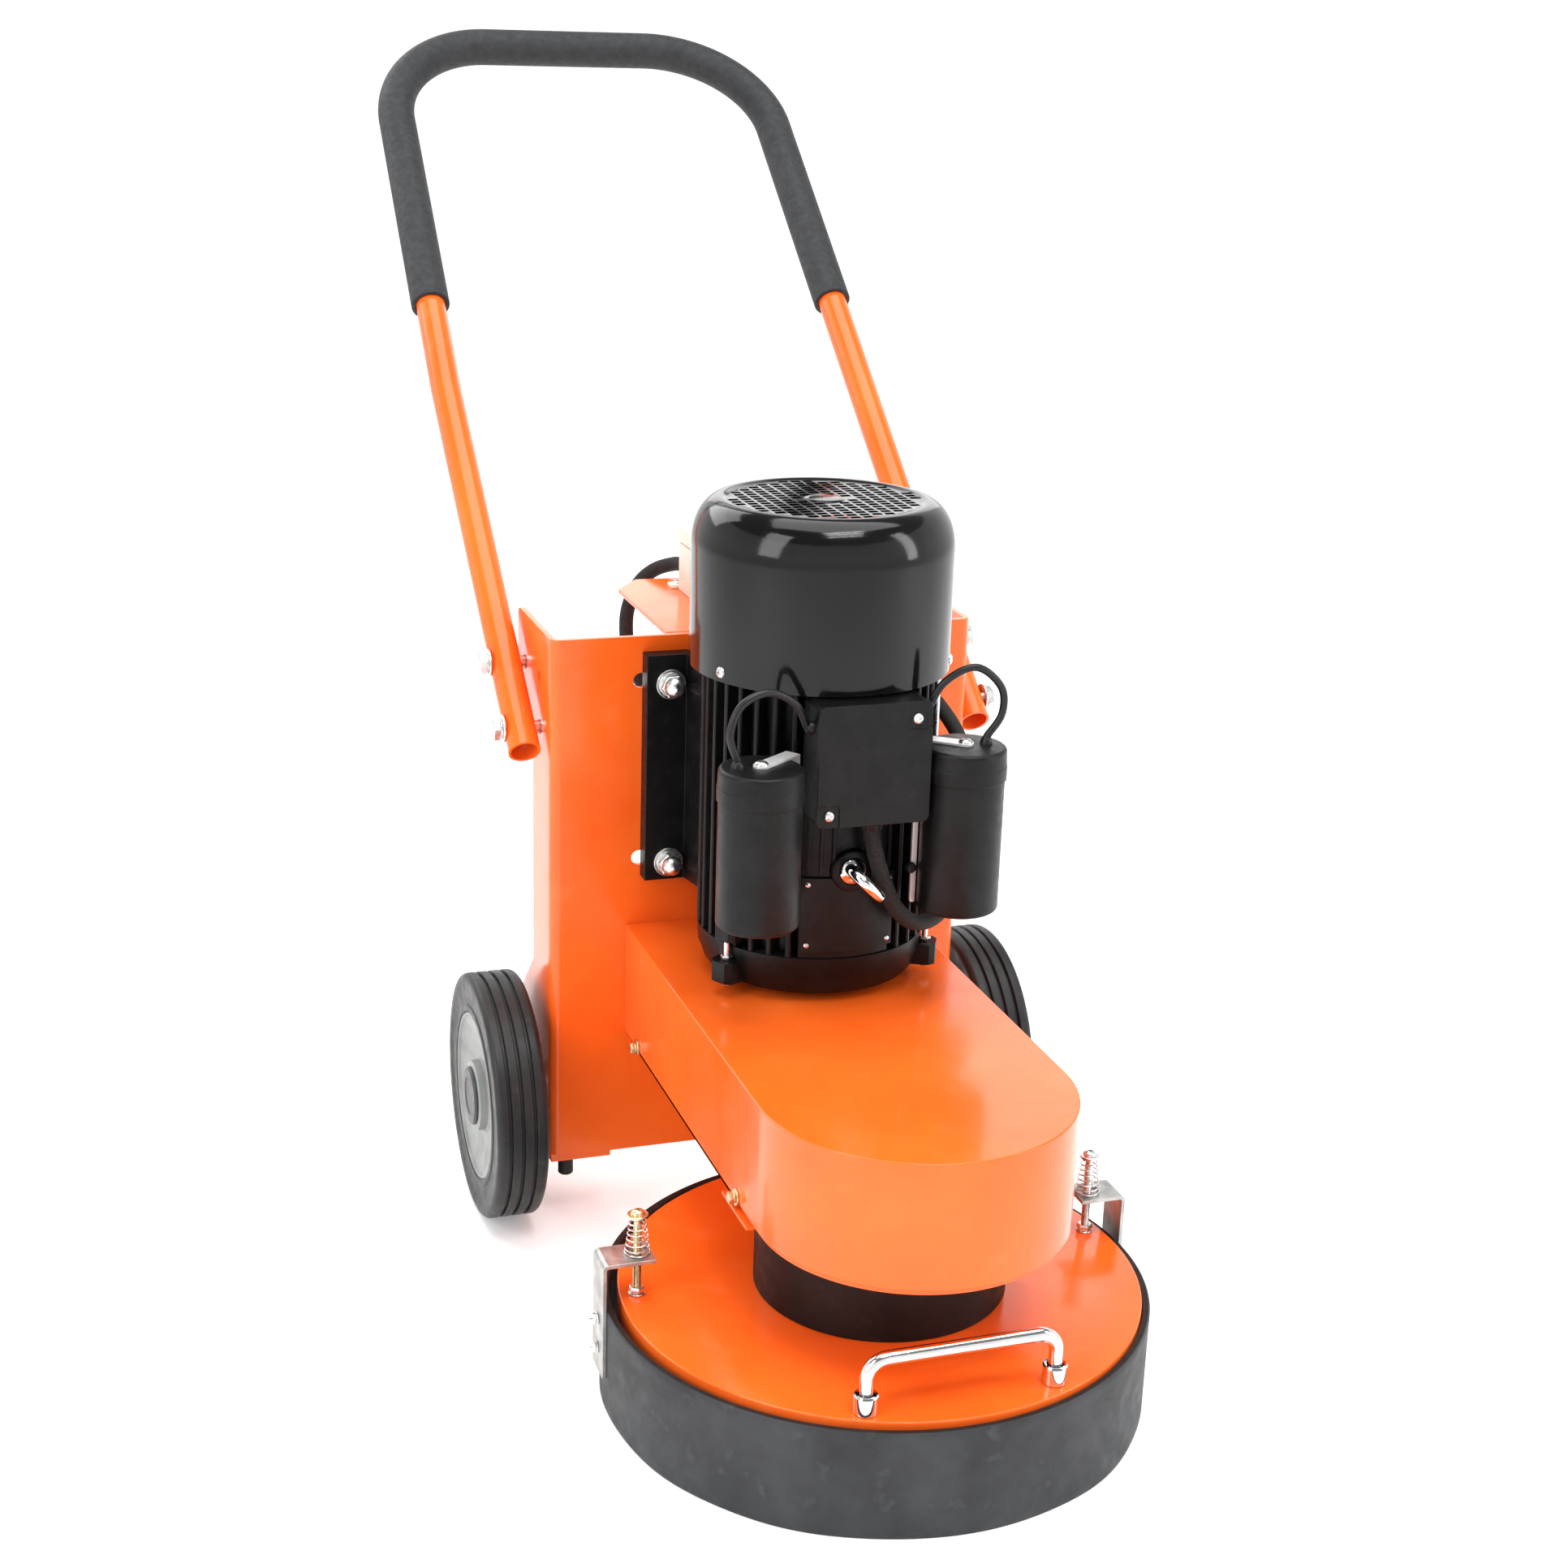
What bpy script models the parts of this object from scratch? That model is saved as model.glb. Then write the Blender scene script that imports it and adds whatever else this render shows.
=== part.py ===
"""Walk-behind floor grinder: belt-driven disc, vertical motor, folded frame, two wheels and a loop handle.

Metres, +Z up, +X to the right seen from the front. The grinding head points to -Y and the handle to +Y.
The origin is on the floor, on the spindle's axis.
"""
import bpy
import bmesh
from math import atan2, cos, pi, radians, sin, sqrt
from mathutils import Matrix, Vector

GAP = 0.0003                     # clearance between pieces that touch
FINENESS = 0.40                  # how round the turned pieces are

# head
SKIRT_RADIUS = 0.1975
SKIRT_CENTRE = (-0.0025, 0.0015)  # the rubber ring hangs a little off the deck's centre
SKIRT_WALL = 0.0055
SKIRT_HEIGHT = 0.080
DECK_RADIUS = 0.1885
DECK_TOP = 0.0835
DECK_SHEET = 0.005
DECK_RIM_BOTTOM = 0.052
PAD_RADIUS = 0.172
PAD_THICKNESS = 0.0215
SPINDLE_RADIUS = 0.0125
HUB_RADIUS = 0.091
SPRING_BOLT_X = 0.1743
SPRING_BOLT_Y = 0.0241
BRACKET_FACE = {"left": 0.1998, "right": 0.1965}  # inner side of each skirt bracket's leg
BOLT_HEAD = 0.0618               # underside of a spring bolt's head above the deck
TAB_HEIGHT = 0.0295              # underside of the skirt bracket's tab above the deck
CARRY_HANDLE_X = -0.0035
CARRY_HANDLE_Y = -0.163
CARRY_HANDLE_SPAN = 0.1348
CARRY_HANDLE_HEIGHT = 0.038

# belt guard
GUARD_RADIUS = 0.112
GUARD_ARC_Y = -0.0505
GUARD_TOP = 0.2549
GUARD_BOTTOM = 0.1630
GUARD_SHEET = 0.0025
FLOOR_BOTTOM = 0.1590
FLOOR_TOP = 0.1640

# folded frame
PLATE_FRONT = 0.2955
FRAME_WIDTH = 0.3448
FRAME_TOP = 0.4903
FRAME_BOTTOM = 0.0572
FRAME_SHEET = 0.0045
FRAME_BEND = 0.008
EAR_REAR = 0.4105
WAIST_REAR = 0.3575

# wheels and axle
WHEEL_RADIUS = 0.100
WHEEL_WIDTH = 0.0417
WHEEL_OUTER_X = 0.2278
AXLE_RADIUS = 0.010
AXLE_Y = 0.3376

# handle
TUBE_RADIUS = 0.0127
TUBE_WALL = 0.002
FOAM_RADIUS = 0.01675
HANDLE_HALF = 0.1886             # tube centre from the machine's middle
HANDLE_FOOT = (0.31565, 0.3975)  # Y and Z of the tube's lower end
HANDLE_LEAN = radians(52.25)     # backward from vertical
HANDLE_LENGTH = 0.827            # lower end to the cross bar, along the tube
HANDLE_BEND = 0.110
HANDLE_SET = 0.009               # the left leg leans in by this much below its bend
HANDLE_SET_START = 0.38          # along the tube, where that lean starts
FOAM_START = 0.4808
HANDLE_BOLTS = (0.023, 0.087)    # along the tube from its lower end

# motor
MOTOR_X = 0.003
MOTOR_Y = 0.1834
HOUSING_BOTTOM = 0.2925
HOUSING_TOP = 0.500
FIN_TIP = 0.086
FIN_ROOT = 0.0775
FIN_COUNT = 36
COVER_RADIUS = 0.0962
COVER_BOTTOM = 0.4945
COVER_SHOULDER = 0.583
COVER_TOP = 0.6171
GRILLE_RADIUS = 0.0748
BELL_BOTTOM = 0.2608
FOOT_HALF = 0.1036               # outer edge of a foot from the motor's axis
FOOT_THICKNESS = 0.0142
FOOT_Z = (0.2956, 0.4783)
FOOT_BOLT_HALF = 0.0847
FOOT_BOLT_Z = (0.3102, 0.4552)
SHAFT_RADIUS = 0.014
BELT_Z = 0.2075
DRIVE_PULLEY_RADIUS = 0.040
DRIVEN_PULLEY_RADIUS = 0.080
BOX_X = (-0.0345, 0.0490)
BOX_Y = (0.0735, 0.118)
BOX_Z = (0.4045, 0.4925)
CAPACITOR_RADIUS = 0.031
STRIP_ENDS = {"left": (-0.0448, 0.0965), "right": (0.0590, 0.1010)}  # X and Y of each clamping strip's end
CAPACITORS = {"left": (-0.0758, 0.074, 0.335, 0.452), "right": (0.081, 0.084, 0.331, 0.4545)}

# switch box on its shelf
SHELF_HALF = 0.080
SHELF_REAR = 0.479
SHELF_SHEET = 0.003
SWITCH_X = (-0.031, 0.049)
SWITCH_Y = (0.340, 0.441)
SWITCH_HEIGHT = 0.055
BUTTON_TRAVEL = 0.004
GLAND = (-0.016, 0.5025)         # X and Z of the lead's gland on the switch box
LEAD_RADIUS = 0.006
LEAD_HOLE = (0.135, 0.432)       # X and Z of the hole that the lead passes in the plate

MOTOR_AXIS = (MOTOR_X, MOTOR_Y, 0.0)
BOLT_RADIUS = 0.005
WASHER_RADIUS = 0.012
HEX_HALF = 0.0085


def clear_scene():
    for thing in list(bpy.data.objects):
        bpy.data.objects.remove(thing, do_unlink=True)


def material(name, colour, roughness, metallic=0.0):
    found = bpy.data.materials.get(name)
    if found:
        return found
    made = bpy.data.materials.new(name)
    made.use_nodes = True
    shader = made.node_tree.nodes["Principled BSDF"]
    shader.inputs["Base Color"].default_value = (*colour, 1.0)
    shader.inputs["Roughness"].default_value = roughness
    shader.inputs["Metallic"].default_value = metallic
    return made


def orange_paint():
    return material("orange_paint", (0.95, 0.13, 0.015), 0.25)


def black_paint():
    return material("black_paint", (0.012, 0.012, 0.013), 0.35)


def satin_black():
    return material("satin_black", (0.02, 0.02, 0.021), 0.55)


def zinc():
    return material("zinc", (0.62, 0.63, 0.65), 0.3, 1.0)


def bright_steel():
    return material("bright_steel", (0.72, 0.72, 0.74), 0.18, 1.0)


def cast_iron():
    return material("cast_iron", (0.16, 0.16, 0.165), 0.55, 0.8)


def black_rubber():
    return material("black_rubber", (0.028, 0.029, 0.03), 0.7)


def tyre_rubber():
    return material("tyre_rubber", (0.02, 0.021, 0.022), 0.6)


def foam():
    return material("foam", (0.035, 0.038, 0.04), 0.85)


def wheel_grey():
    return material("wheel_grey", (0.42, 0.44, 0.42), 0.5)


def cream_plastic():
    return material("cream_plastic", (0.82, 0.76, 0.68), 0.45)


def button_colour(name):
    colours = {"start_button": (0.02, 0.35, 0.08), "stop_button": (0.55, 0.02, 0.02)}
    return material(name + "_plastic", colours[name], 0.35)


def pad_abrasive():
    return material("pad_abrasive", (0.10, 0.09, 0.08), 0.8)


def add_object(name, bm, made_of, location=(0.0, 0.0, 0.0), smooth=True):
    """Turn a bmesh into an object of the scene, its faces pointing out."""
    bmesh.ops.recalc_face_normals(bm, faces=bm.faces)
    mesh = bpy.data.meshes.new(name)
    bm.to_mesh(mesh)
    bm.free()
    if smooth:
        mesh.shade_smooth()
        mesh.set_sharp_from_angle(angle=radians(35))
    mesh.materials.append(made_of)
    thing = bpy.data.objects.new(name, mesh)
    thing.location = location
    bpy.context.scene.collection.objects.link(thing)
    return thing


def add_tool(target, bm, operation):
    """Cut the target with a shape, or join the shape to it. The shape is in the target's own coordinates."""
    bmesh.ops.recalc_face_normals(bm, faces=bm.faces)
    name = f"{target.name}_tool_{len(target.modifiers)}"
    mesh = bpy.data.meshes.new(name)
    bm.to_mesh(mesh)
    bm.free()
    tool = bpy.data.objects.new(name, mesh)
    tool.location = target.location
    tool.hide_render = True
    tool.display_type = 'WIRE'
    bpy.context.scene.collection.objects.link(tool)
    step = target.modifiers.new(name, 'BOOLEAN')
    step.operation = operation
    step.solver = 'EXACT'
    step.object = tool


def cut(target, bm):
    add_tool(target, bm, 'DIFFERENCE')


def join(target, bm):
    add_tool(target, bm, 'UNION')


def joined(*parts):
    """One bmesh that holds several separate shapes."""
    whole = bmesh.new()
    for part in parts:
        mesh = bpy.data.meshes.new("scratch")
        part.to_mesh(mesh)
        part.free()
        whole.from_mesh(mesh)
        bpy.data.meshes.remove(mesh)
    return whole


def arc(centre, radius, start, end, steps):
    """Points of a circle's arc, both ends included. Angles in degrees."""
    turn = (end - start) / steps
    angles = [radians(start + turn * i) for i in range(steps + 1)]
    return [(centre[0] + radius * cos(a), centre[1] + radius * sin(a)) for a in angles]


def on_axis(axis, along, a, b):
    """Place an outline's point: for Z it is X,Y; for X it is Y,Z; for Y it is X,Z."""
    return {"Z": (a, b, along), "X": (along, a, b), "Y": (a, along, b)}[axis]


def prism(outline, low, high, axis="Z"):
    """An outline extruded from low to high along an axis."""
    bm = bmesh.new()
    face = bm.faces.new([bm.verts.new(on_axis(axis, low, a, b)) for a, b in outline])
    grown = bmesh.ops.extrude_face_region(bm, geom=[face])
    lifted = [item for item in grown["geom"] if isinstance(item, bmesh.types.BMVert)]
    bmesh.ops.translate(bm, verts=lifted, vec=Vector(on_axis(axis, high - low, 0.0, 0.0)))
    return bm


def block(x, y, z):
    """A box from three (low, high) pairs."""
    return prism([(x[0], y[0]), (x[1], y[0]), (x[1], y[1]), (x[0], y[1])], z[0], z[1])


def rounded_rectangle(x, y, radius, steps=4):
    corners = ((x[1], y[1], 0), (x[0], y[1], 90), (x[0], y[0], 180), (x[1], y[0], 270))
    outline = []
    for cx, cy, start in corners:
        centre = (cx - radius if cx == x[1] else cx + radius, cy - radius if cy == y[1] else cy + radius)
        outline += arc(centre, radius, start, start + 90, steps)
    return outline


def stadium(x, z, half_length, half_width, steps=4):
    right = arc((x + half_length - half_width, z), half_width, -90, 90, steps)
    left = arc((x - half_length + half_width, z), half_width, 90, 270, steps)
    return right + left


def hexagon(centre, half_flat):
    return arc(centre, half_flat / cos(pi / 6), 30, 330, 5)


def facets(steps):
    return max(8, round(steps * FINENESS / 2) * 2)


def circle(centre, radius, steps, start=0):
    count = facets(steps)
    return arc(centre, radius, start, start + 360 - 360 / count, count - 1)


def turned(profile, steps, axis="Z"):
    """A closed profile of (radius, height) points, turned about an axis."""
    bm = bmesh.new()
    rim = [bm.verts.new((radius, 0.0, height)) for radius, height in profile]
    pairs = [(rim[i - 1], rim[i]) for i in range(len(rim)) if profile[i - 1][0] or profile[i][0]]
    edges = [bm.edges.new(pair) for pair in pairs]
    bmesh.ops.spin(bm, geom=rim + edges, cent=(0, 0, 0), axis=(0, 0, 1), angle=2 * pi, steps=facets(steps),
                   use_merge=True)
    bmesh.ops.remove_doubles(bm, verts=bm.verts, dist=1e-6)
    bmesh.ops.dissolve_degenerate(bm, dist=1e-6, edges=bm.edges)
    turns = {"Z": Matrix(), "X": Matrix.Rotation(pi / 2, 3, 'Y'), "Y": Matrix.Rotation(-pi / 2, 3, 'X')}
    if axis != "Z":
        bmesh.ops.rotate(bm, verts=bm.verts, cent=(0, 0, 0), matrix=turns[axis])
    return bm


def moved(bm, shift):
    bmesh.ops.translate(bm, verts=bm.verts, vec=Vector(shift))
    return bm


def ring_mesh(path, outer, inner, sides):
    """A pipe along a path: a hollow one where inner is above 0, else a solid rod."""
    bm = bmesh.new()
    loops = {"outer": [], "inner": []}
    points = [Vector(p) for p in path]
    side = None
    for i, point in enumerate(points):
        ahead = points[min(i + 1, len(points) - 1)] - points[max(i - 1, 0)]
        ahead.normalize()
        if side is None:
            side = ahead.orthogonal().normalized()
        side = (side - ahead * side.dot(ahead)).normalized()
        up = ahead.cross(side)
        for key, radius in (("outer", outer), ("inner", inner)):
            if radius:
                turn = [2 * pi * k / sides for k in range(sides)]
                loops[key].append([bm.verts.new(point + side * radius * cos(t) + up * radius * sin(t))
                                   for t in turn])
    for rings in loops.values():
        for first, second in zip(rings, rings[1:]):
            skin(bm, first, second)
    for end in (0, -1):
        if inner:
            skin(bm, loops["outer"][end], loops["inner"][end])
        else:
            bm.faces.new(loops["outer"][end])
    return bm


def skin(bm, first, second):
    count = len(first)
    for k in range(count):
        after = (k + 1) % count
        bm.faces.new((first[k], first[after], second[after], second[k]))


def smooth_route(points, steps):
    """A smooth curve through the given points (Catmull-Rom)."""
    route = [Vector(p) for p in points]
    route = [route[0] * 2 - route[1]] + route + [route[-1] * 2 - route[-2]]
    curve = []
    for a, b, c, d in zip(route, route[1:], route[2:], route[3:]):
        for k in range(steps):
            t = k / steps
            bend = (a * 2 - b * 5 + c * 4 - d) * t * t + (b * 3 - a - c * 3 + d) * t ** 3
            curve.append((b * 2 + (c - a) * t + bend) / 2)
    curve.append(route[-2])
    return curve


def cable(name, points, radius, made_of, steps=3, resolution=2):
    """A round cable; its first and last stretch are straight, where it enters what it joins."""
    data = bpy.data.curves.new(name, 'CURVE')
    data.dimensions = '3D'
    data.bevel_depth = radius
    data.bevel_resolution = resolution
    data.use_fill_caps = True
    spline = data.splines.new('POLY')
    curve = [Vector(points[0])] + smooth_route(points[1:-1], steps) + [Vector(points[-1])]
    spline.points.add(len(curve) - 1)
    for point, place in zip(spline.points, curve):
        point.co = (*place, 1.0)
    data.materials.append(made_of)
    thing = bpy.data.objects.new(name, data)
    bpy.context.scene.collection.objects.link(thing)
    return thing


def bolt_body(length, head_height, nut_height, washer=0.0016, axis="X"):
    """A bolt with its washer, head and nut, from the head's face at 0 inward along the axis."""
    inside = -washer * 0.7
    shank = turned([(0, inside), (BOLT_RADIUS, inside), (BOLT_RADIUS, length), (0, length)], 16, axis)
    bottom = turned([(0, -washer), (WASHER_RADIUS, -washer), (WASHER_RADIUS, 0), (0, 0)], 24, axis)
    head = prism(hexagon((0, 0), HEX_HALF), -washer - head_height, -washer / 2, axis)
    nut = prism(hexagon((0, 0), HEX_HALF), length - nut_height - 0.002, length - 0.002, axis)
    return shank, bottom, head, nut


# ---- frame -----------------------------------------------------------------------------------------

def frame_plan():
    half = FRAME_WIDTH / 2
    front = PLATE_FRONT
    inner = FRAME_BEND - FRAME_SHEET
    bend_y = front + FRAME_BEND
    bend_x = half - FRAME_BEND
    outline = [(-half, EAR_REAR)] + arc((-bend_x, bend_y), FRAME_BEND, 180, 270, 4)
    outline += arc((bend_x, bend_y), FRAME_BEND, 270, 360, 4) + [(half, EAR_REAR)]
    outline += [(half - FRAME_SHEET, EAR_REAR)] + arc((bend_x, bend_y), inner, 360, 270, 3)
    outline += arc((-bend_x, bend_y), inner, 270, 180, 3) + [(-half + FRAME_SHEET, EAR_REAR)]
    return outline


def handle_point(along, x=HANDLE_HALF):
    return (x, HANDLE_FOOT[0] + along * sin(HANDLE_LEAN), HANDLE_FOOT[1] + along * cos(HANDLE_LEAN))


def frame_channel():
    thing = add_object("frame_channel", prism(frame_plan(), FRAME_BOTTOM, FRAME_TOP), orange_paint())
    half = FRAME_WIDTH / 2
    for side in (-1, 1):
        reach = sorted((side * (half - 0.0006), side * (half - 0.050)))
        depth = (PLATE_FRONT + 0.0006, PLATE_FRONT + 0.060)
        plate = block(reach, depth, (FRAME_BOTTOM - 0.0047, FRAME_BOTTOM + 0.0015))
        join(thing, plate)
    beyond = EAR_REAR + 0.020
    waist = [(WAIST_REAR, 0.2076), (beyond, 0.1366), (beyond, 0.4608), (WAIST_REAR, 0.385)]
    cut(thing, prism(waist, -half - 0.01, half + 0.01, "X"))
    corner = arc((EAR_REAR - 0.0078, FRAME_TOP - 0.0078), 0.008, 0, 90, 4)
    corner += [(EAR_REAR - 0.0078, FRAME_TOP + 0.01), (beyond, FRAME_TOP + 0.01), (beyond, FRAME_TOP - 0.0078)]
    cut(thing, prism(corner, -half - 0.01, half + 0.01, "X"))
    through = (-half - 0.01, half + 0.01)
    holes = [(AXLE_Y, WHEEL_RADIUS, AXLE_RADIUS + 0.0012), (0.336, 0.4505, 0.0055)]
    holes += [(*handle_point(along)[1:], BOLT_RADIUS + 0.0008) for along in HANDLE_BOLTS]
    cut(thing, joined(*[prism(circle((y, z), radius, 20, 10), *through, "X") for y, z, radius in holes]))
    depth = (PLATE_FRONT - 0.01, PLATE_FRONT + 0.02)
    slots = [prism(stadium(MOTOR_X + side * 0.0926, z, 0.018, 0.006), *depth, "Y")
             for side in (-1, 1) for z in FOOT_BOLT_Z]
    slots.append(prism(circle(LEAD_HOLE, LEAD_RADIUS + 0.0025, 20), *depth, "Y"))
    cut(thing, joined(*slots))


def frame_feet():
    for side, name in ((-1, "frame_foot_left"), (1, "frame_foot_right")):
        top = FRAME_BOTTOM - 0.0047 - GAP
        profile = [(0, 0.0345), (0.0052, 0.0345), (0.0062, 0.0355), (0.0062, top), (0, top)]
        add_object(name, turned(profile, 20), black_rubber(), (side * 0.1565, 0.310, 0))


def axle():
    half = FRAME_WIDTH / 2
    collar = (half + GAP, WHEEL_OUTER_X - WHEEL_WIDTH - 0.0005)
    end = WHEEL_OUTER_X - 0.0016
    right = [(0, end), (AXLE_RADIUS, end), (AXLE_RADIUS, collar[1]), (0.015, collar[1]), (0.015, collar[0]),
             (AXLE_RADIUS, collar[0])]
    left = [(radius, -height) for radius, height in reversed(right)]
    add_object("axle", turned(right + left, 24, "X"), bright_steel(), (0, AXLE_Y, WHEEL_RADIUS))


def tyre_profile():
    """Half-width of the tyre along the height, four ribs between three grooves on the tread."""
    half = WHEEL_WIDTH / 2
    groove, depth = 0.0016, 0.0030
    tread = [(WHEEL_RADIUS - 0.004, -half + 0.0006), (WHEEL_RADIUS, -half + 0.004)]
    for centre in (-0.0098, 0.0, 0.0098):
        tread += [(WHEEL_RADIUS, centre - groove), (WHEEL_RADIUS - depth, centre - groove * 0.6),
                  (WHEEL_RADIUS - depth, centre + groove * 0.6), (WHEEL_RADIUS, centre + groove)]
    tread += [(WHEEL_RADIUS, half - 0.004), (WHEEL_RADIUS - 0.004, half - 0.0006)]
    return [(0.0683, -half + 0.0015)] + tread + [(0.0683, half - 0.0015)]


def wheels():
    half = WHEEL_WIDTH / 2
    bore = AXLE_RADIUS + GAP
    rim = 0.068
    disc = [(bore, -half), (0.027, -half), (0.027, -0.008), (0.060, -0.008), (0.060, -half + 0.003),
            (rim, -half + 0.003), (rim, half - 0.003), (0.062, half - 0.003), (0.056, 0.008), (0.027, 0.008),
            (0.027, half - 0.001), (0.024, half + 0.0035), (0, half + 0.0035), (0, half), (bore, half)]
    for side, name in ((-1, "left"), (1, "right")):
        place = (side * (WHEEL_OUTER_X - half), AXLE_Y, WHEEL_RADIUS)
        add_object("tyre_" + name, turned(tyre_profile(), 60, "X"), tyre_rubber(), place)
        outward = [(radius, side * height) for radius, height in disc]
        add_object("wheel_disc_" + name, turned(outward, 60, "X"), wheel_grey(), place)


def switch_shelf():
    plate_rear = PLATE_FRONT + FRAME_SHEET + GAP
    profile = [(plate_rear, 0.469), (plate_rear, FRAME_TOP), (SHELF_REAR, FRAME_TOP),
               (SHELF_REAR, FRAME_TOP - SHELF_SHEET), (plate_rear + SHELF_SHEET, FRAME_TOP - SHELF_SHEET),
               (plate_rear + SHELF_SHEET, 0.469)]
    thing = add_object("switch_shelf", prism(profile, -SHELF_HALF, SHELF_HALF, "X"), orange_paint())
    for side in (-1, 1):
        corner = [(side * 0.057, SHELF_REAR), (side * 0.040, SHELF_REAR + 0.0234), (side * 0.110, 0.470),
                  (side * 0.110, 0.406), (side * SHELF_HALF, 0.4473)]
        cut(thing, prism(corner, 0.47, 0.50))


def switch_box():
    base = FRAME_TOP + GAP
    top = base + SWITCH_HEIGHT
    outline = rounded_rectangle(SWITCH_X, SWITCH_Y, 0.004, 3)
    thing = add_object("switch_box", prism(outline, base, top), cream_plastic())
    wall = 0.003
    inside = block((SWITCH_X[0] + wall, SWITCH_X[1] - wall), (SWITCH_Y[0] + wall, SWITCH_Y[1] - wall),
                   (base - 0.01, top - wall))
    cut(thing, inside)
    gland = [(0, -0.001), (0.011, -0.001), (0.011, 0.005), (0.009, 0.006), (0.0075, 0.018), (0, 0.018)]
    join(thing, moved(turned(gland, 20, "Y"), (GLAND[0], SWITCH_Y[1], GLAND[1])))
    join(thing, moved(turned(gland, 20, "X"), (SWITCH_X[1], 0.415, GLAND[1])))
    for x, z in button_places().values():
        cut(thing, prism(circle((x, z), 0.0081, 20), SWITCH_Y[1] - 0.02, SWITCH_Y[1] + 0.02, "Y"))


def button_places():
    return {"start_button": (0.0085, 0.5215), "stop_button": (0.0340, 0.5215)}


def buttons():
    """Push buttons in the rear face of the switch box; each moves inward by its travel."""
    head = {"start_button": (0.0095, 0.005), "stop_button": (0.0120, 0.008)}
    for name, (x, z) in button_places().items():
        radius, height = head[name]
        seat = BUTTON_TRAVEL + 0.0006
        profile = [(0, -0.012), (0.007, -0.012), (0.007, seat), (radius, seat), (radius, seat + height - 0.0015),
                   (radius - 0.002, seat + height), (0, seat + height)]
        add_object(name, turned(profile, 24, "Y"), button_colour(name), (x, SWITCH_Y[1], z))


# ---- handle ----------------------------------------------------------------------------------------

def handle_path(start, end_steps=6):
    """The handle's centre line from one side's start, up, over the cross bar and down to the other side."""
    straight = HANDLE_LENGTH - HANDLE_BEND
    bar = HANDLE_HALF - HANDLE_BEND
    lean = max(0.0, start - HANDLE_SET_START) / (straight - HANDLE_SET_START)
    flat = [(-HANDLE_HALF + HANDLE_SET * lean, start)]
    if start < HANDLE_SET_START:
        flat.append((-HANDLE_HALF, HANDLE_SET_START))
    squeeze = (HANDLE_BEND - HANDLE_SET) / HANDLE_BEND
    left_bend = arc((0, straight), HANDLE_BEND, 180, 90, end_steps)
    flat += [(-bar + x * squeeze, along) for x, along in left_bend]
    flat += arc((bar, straight), HANDLE_BEND, 90, 0, end_steps) + [(HANDLE_HALF, start)]
    return [handle_point(along, x) for x, along in flat]


def handle_tube():
    pipe = ring_mesh(handle_path(0.0), TUBE_RADIUS, TUBE_RADIUS - TUBE_WALL, 10)
    thing = add_object("handle_tube", pipe, orange_paint())
    holes = [prism(circle(handle_point(along)[1:], BOLT_RADIUS + 0.0008, 16), -0.25, 0.25, "X")
             for along in HANDLE_BOLTS]
    cut(thing, joined(*holes))


def foam_grip():
    add_object("foam_grip", ring_mesh(handle_path(FOAM_START), FOAM_RADIUS, TUBE_RADIUS + GAP, 10), foam())


def handle_bolts():
    face = HANDLE_HALF + TUBE_RADIUS + GAP
    length = face - FRAME_WIDTH / 2 + FRAME_SHEET + GAP + 0.010
    for side, name in ((-1, "left"), (1, "right")):
        for number, along in enumerate(HANDLE_BOLTS, 1):
            parts = bolt_body(length, 0.0065, 0.008)
            shank, *others = parts if side < 0 else [flipped(part) for part in parts]
            place = handle_point(along, side * face)
            thing = add_object(f"handle_bolt_{name}_{number}", shank, zinc(), place)
            for other in others:
                join(thing, other)


def flipped(bm):
    bmesh.ops.scale(bm, verts=bm.verts, vec=(-1, 1, 1))
    return bm


# ---- belt drive ------------------------------------------------------------------------------------

def guard_outline(inset, rear, steps=20):
    radius = GUARD_RADIUS - inset
    return [(radius, rear), (-radius, rear)] + arc((0, GUARD_ARC_Y), radius, 180, 360, steps)


def belt_guard():
    rear = PLATE_FRONT - GAP
    shell = prism(guard_outline(0, rear), GUARD_BOTTOM, GUARD_TOP)
    thing = add_object("belt_guard", shell, orange_paint())
    cut(thing, prism(guard_outline(GUARD_SHEET, rear + 0.01), GUARD_BOTTOM - 0.01, GUARD_TOP - GUARD_SHEET))
    cut(thing, prism(circle(MOTOR_AXIS[:2], 0.024, 24), GUARD_TOP - 0.01, GUARD_TOP + 0.01))


def guard_floor():
    plate = prism(guard_outline(GUARD_SHEET + 0.0004, PLATE_FRONT - GAP), FLOOR_BOTTOM, FLOOR_TOP)
    thing = add_object("guard_floor", plate, orange_paint())
    cut(thing, prism(circle((0, 0), 0.030, 24), FLOOR_BOTTOM - 0.01, FLOOR_TOP + 0.01))


def pulley_profile(radius, bore, hub):
    """A pulley with one V groove; a wide pulley is dished down to its hub."""
    half, floor = 0.009, radius - 0.0105
    groove = [(radius, 0.0067), (floor, 0.0035), (floor, -0.0035), (radius, -0.0067)]
    rim = floor - 0.006
    web = [] if rim < hub + 0.004 else [(rim, -half), (rim, -0.003), (hub, -0.003), (hub, -half)]
    outer = [(bore, half), (hub, half)] if web else [(bore, half)]
    top = [(hub, 0.003), (rim, 0.003), (rim, half)] if web else []
    return outer + top + [(radius, half)] + groove + [(radius, -half)] + web + [(bore, -half)]


def pulleys():
    drive = turned(pulley_profile(DRIVE_PULLEY_RADIUS, SHAFT_RADIUS + GAP, 0.030), 32)
    add_object("drive_pulley", drive, cast_iron(), (MOTOR_X, MOTOR_Y, BELT_Z))
    driven = turned(pulley_profile(DRIVEN_PULLEY_RADIUS, SPINDLE_RADIUS + GAP, 0.026), 40)
    add_object("driven_pulley", driven, cast_iron(), (0, 0, BELT_Z))


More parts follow.
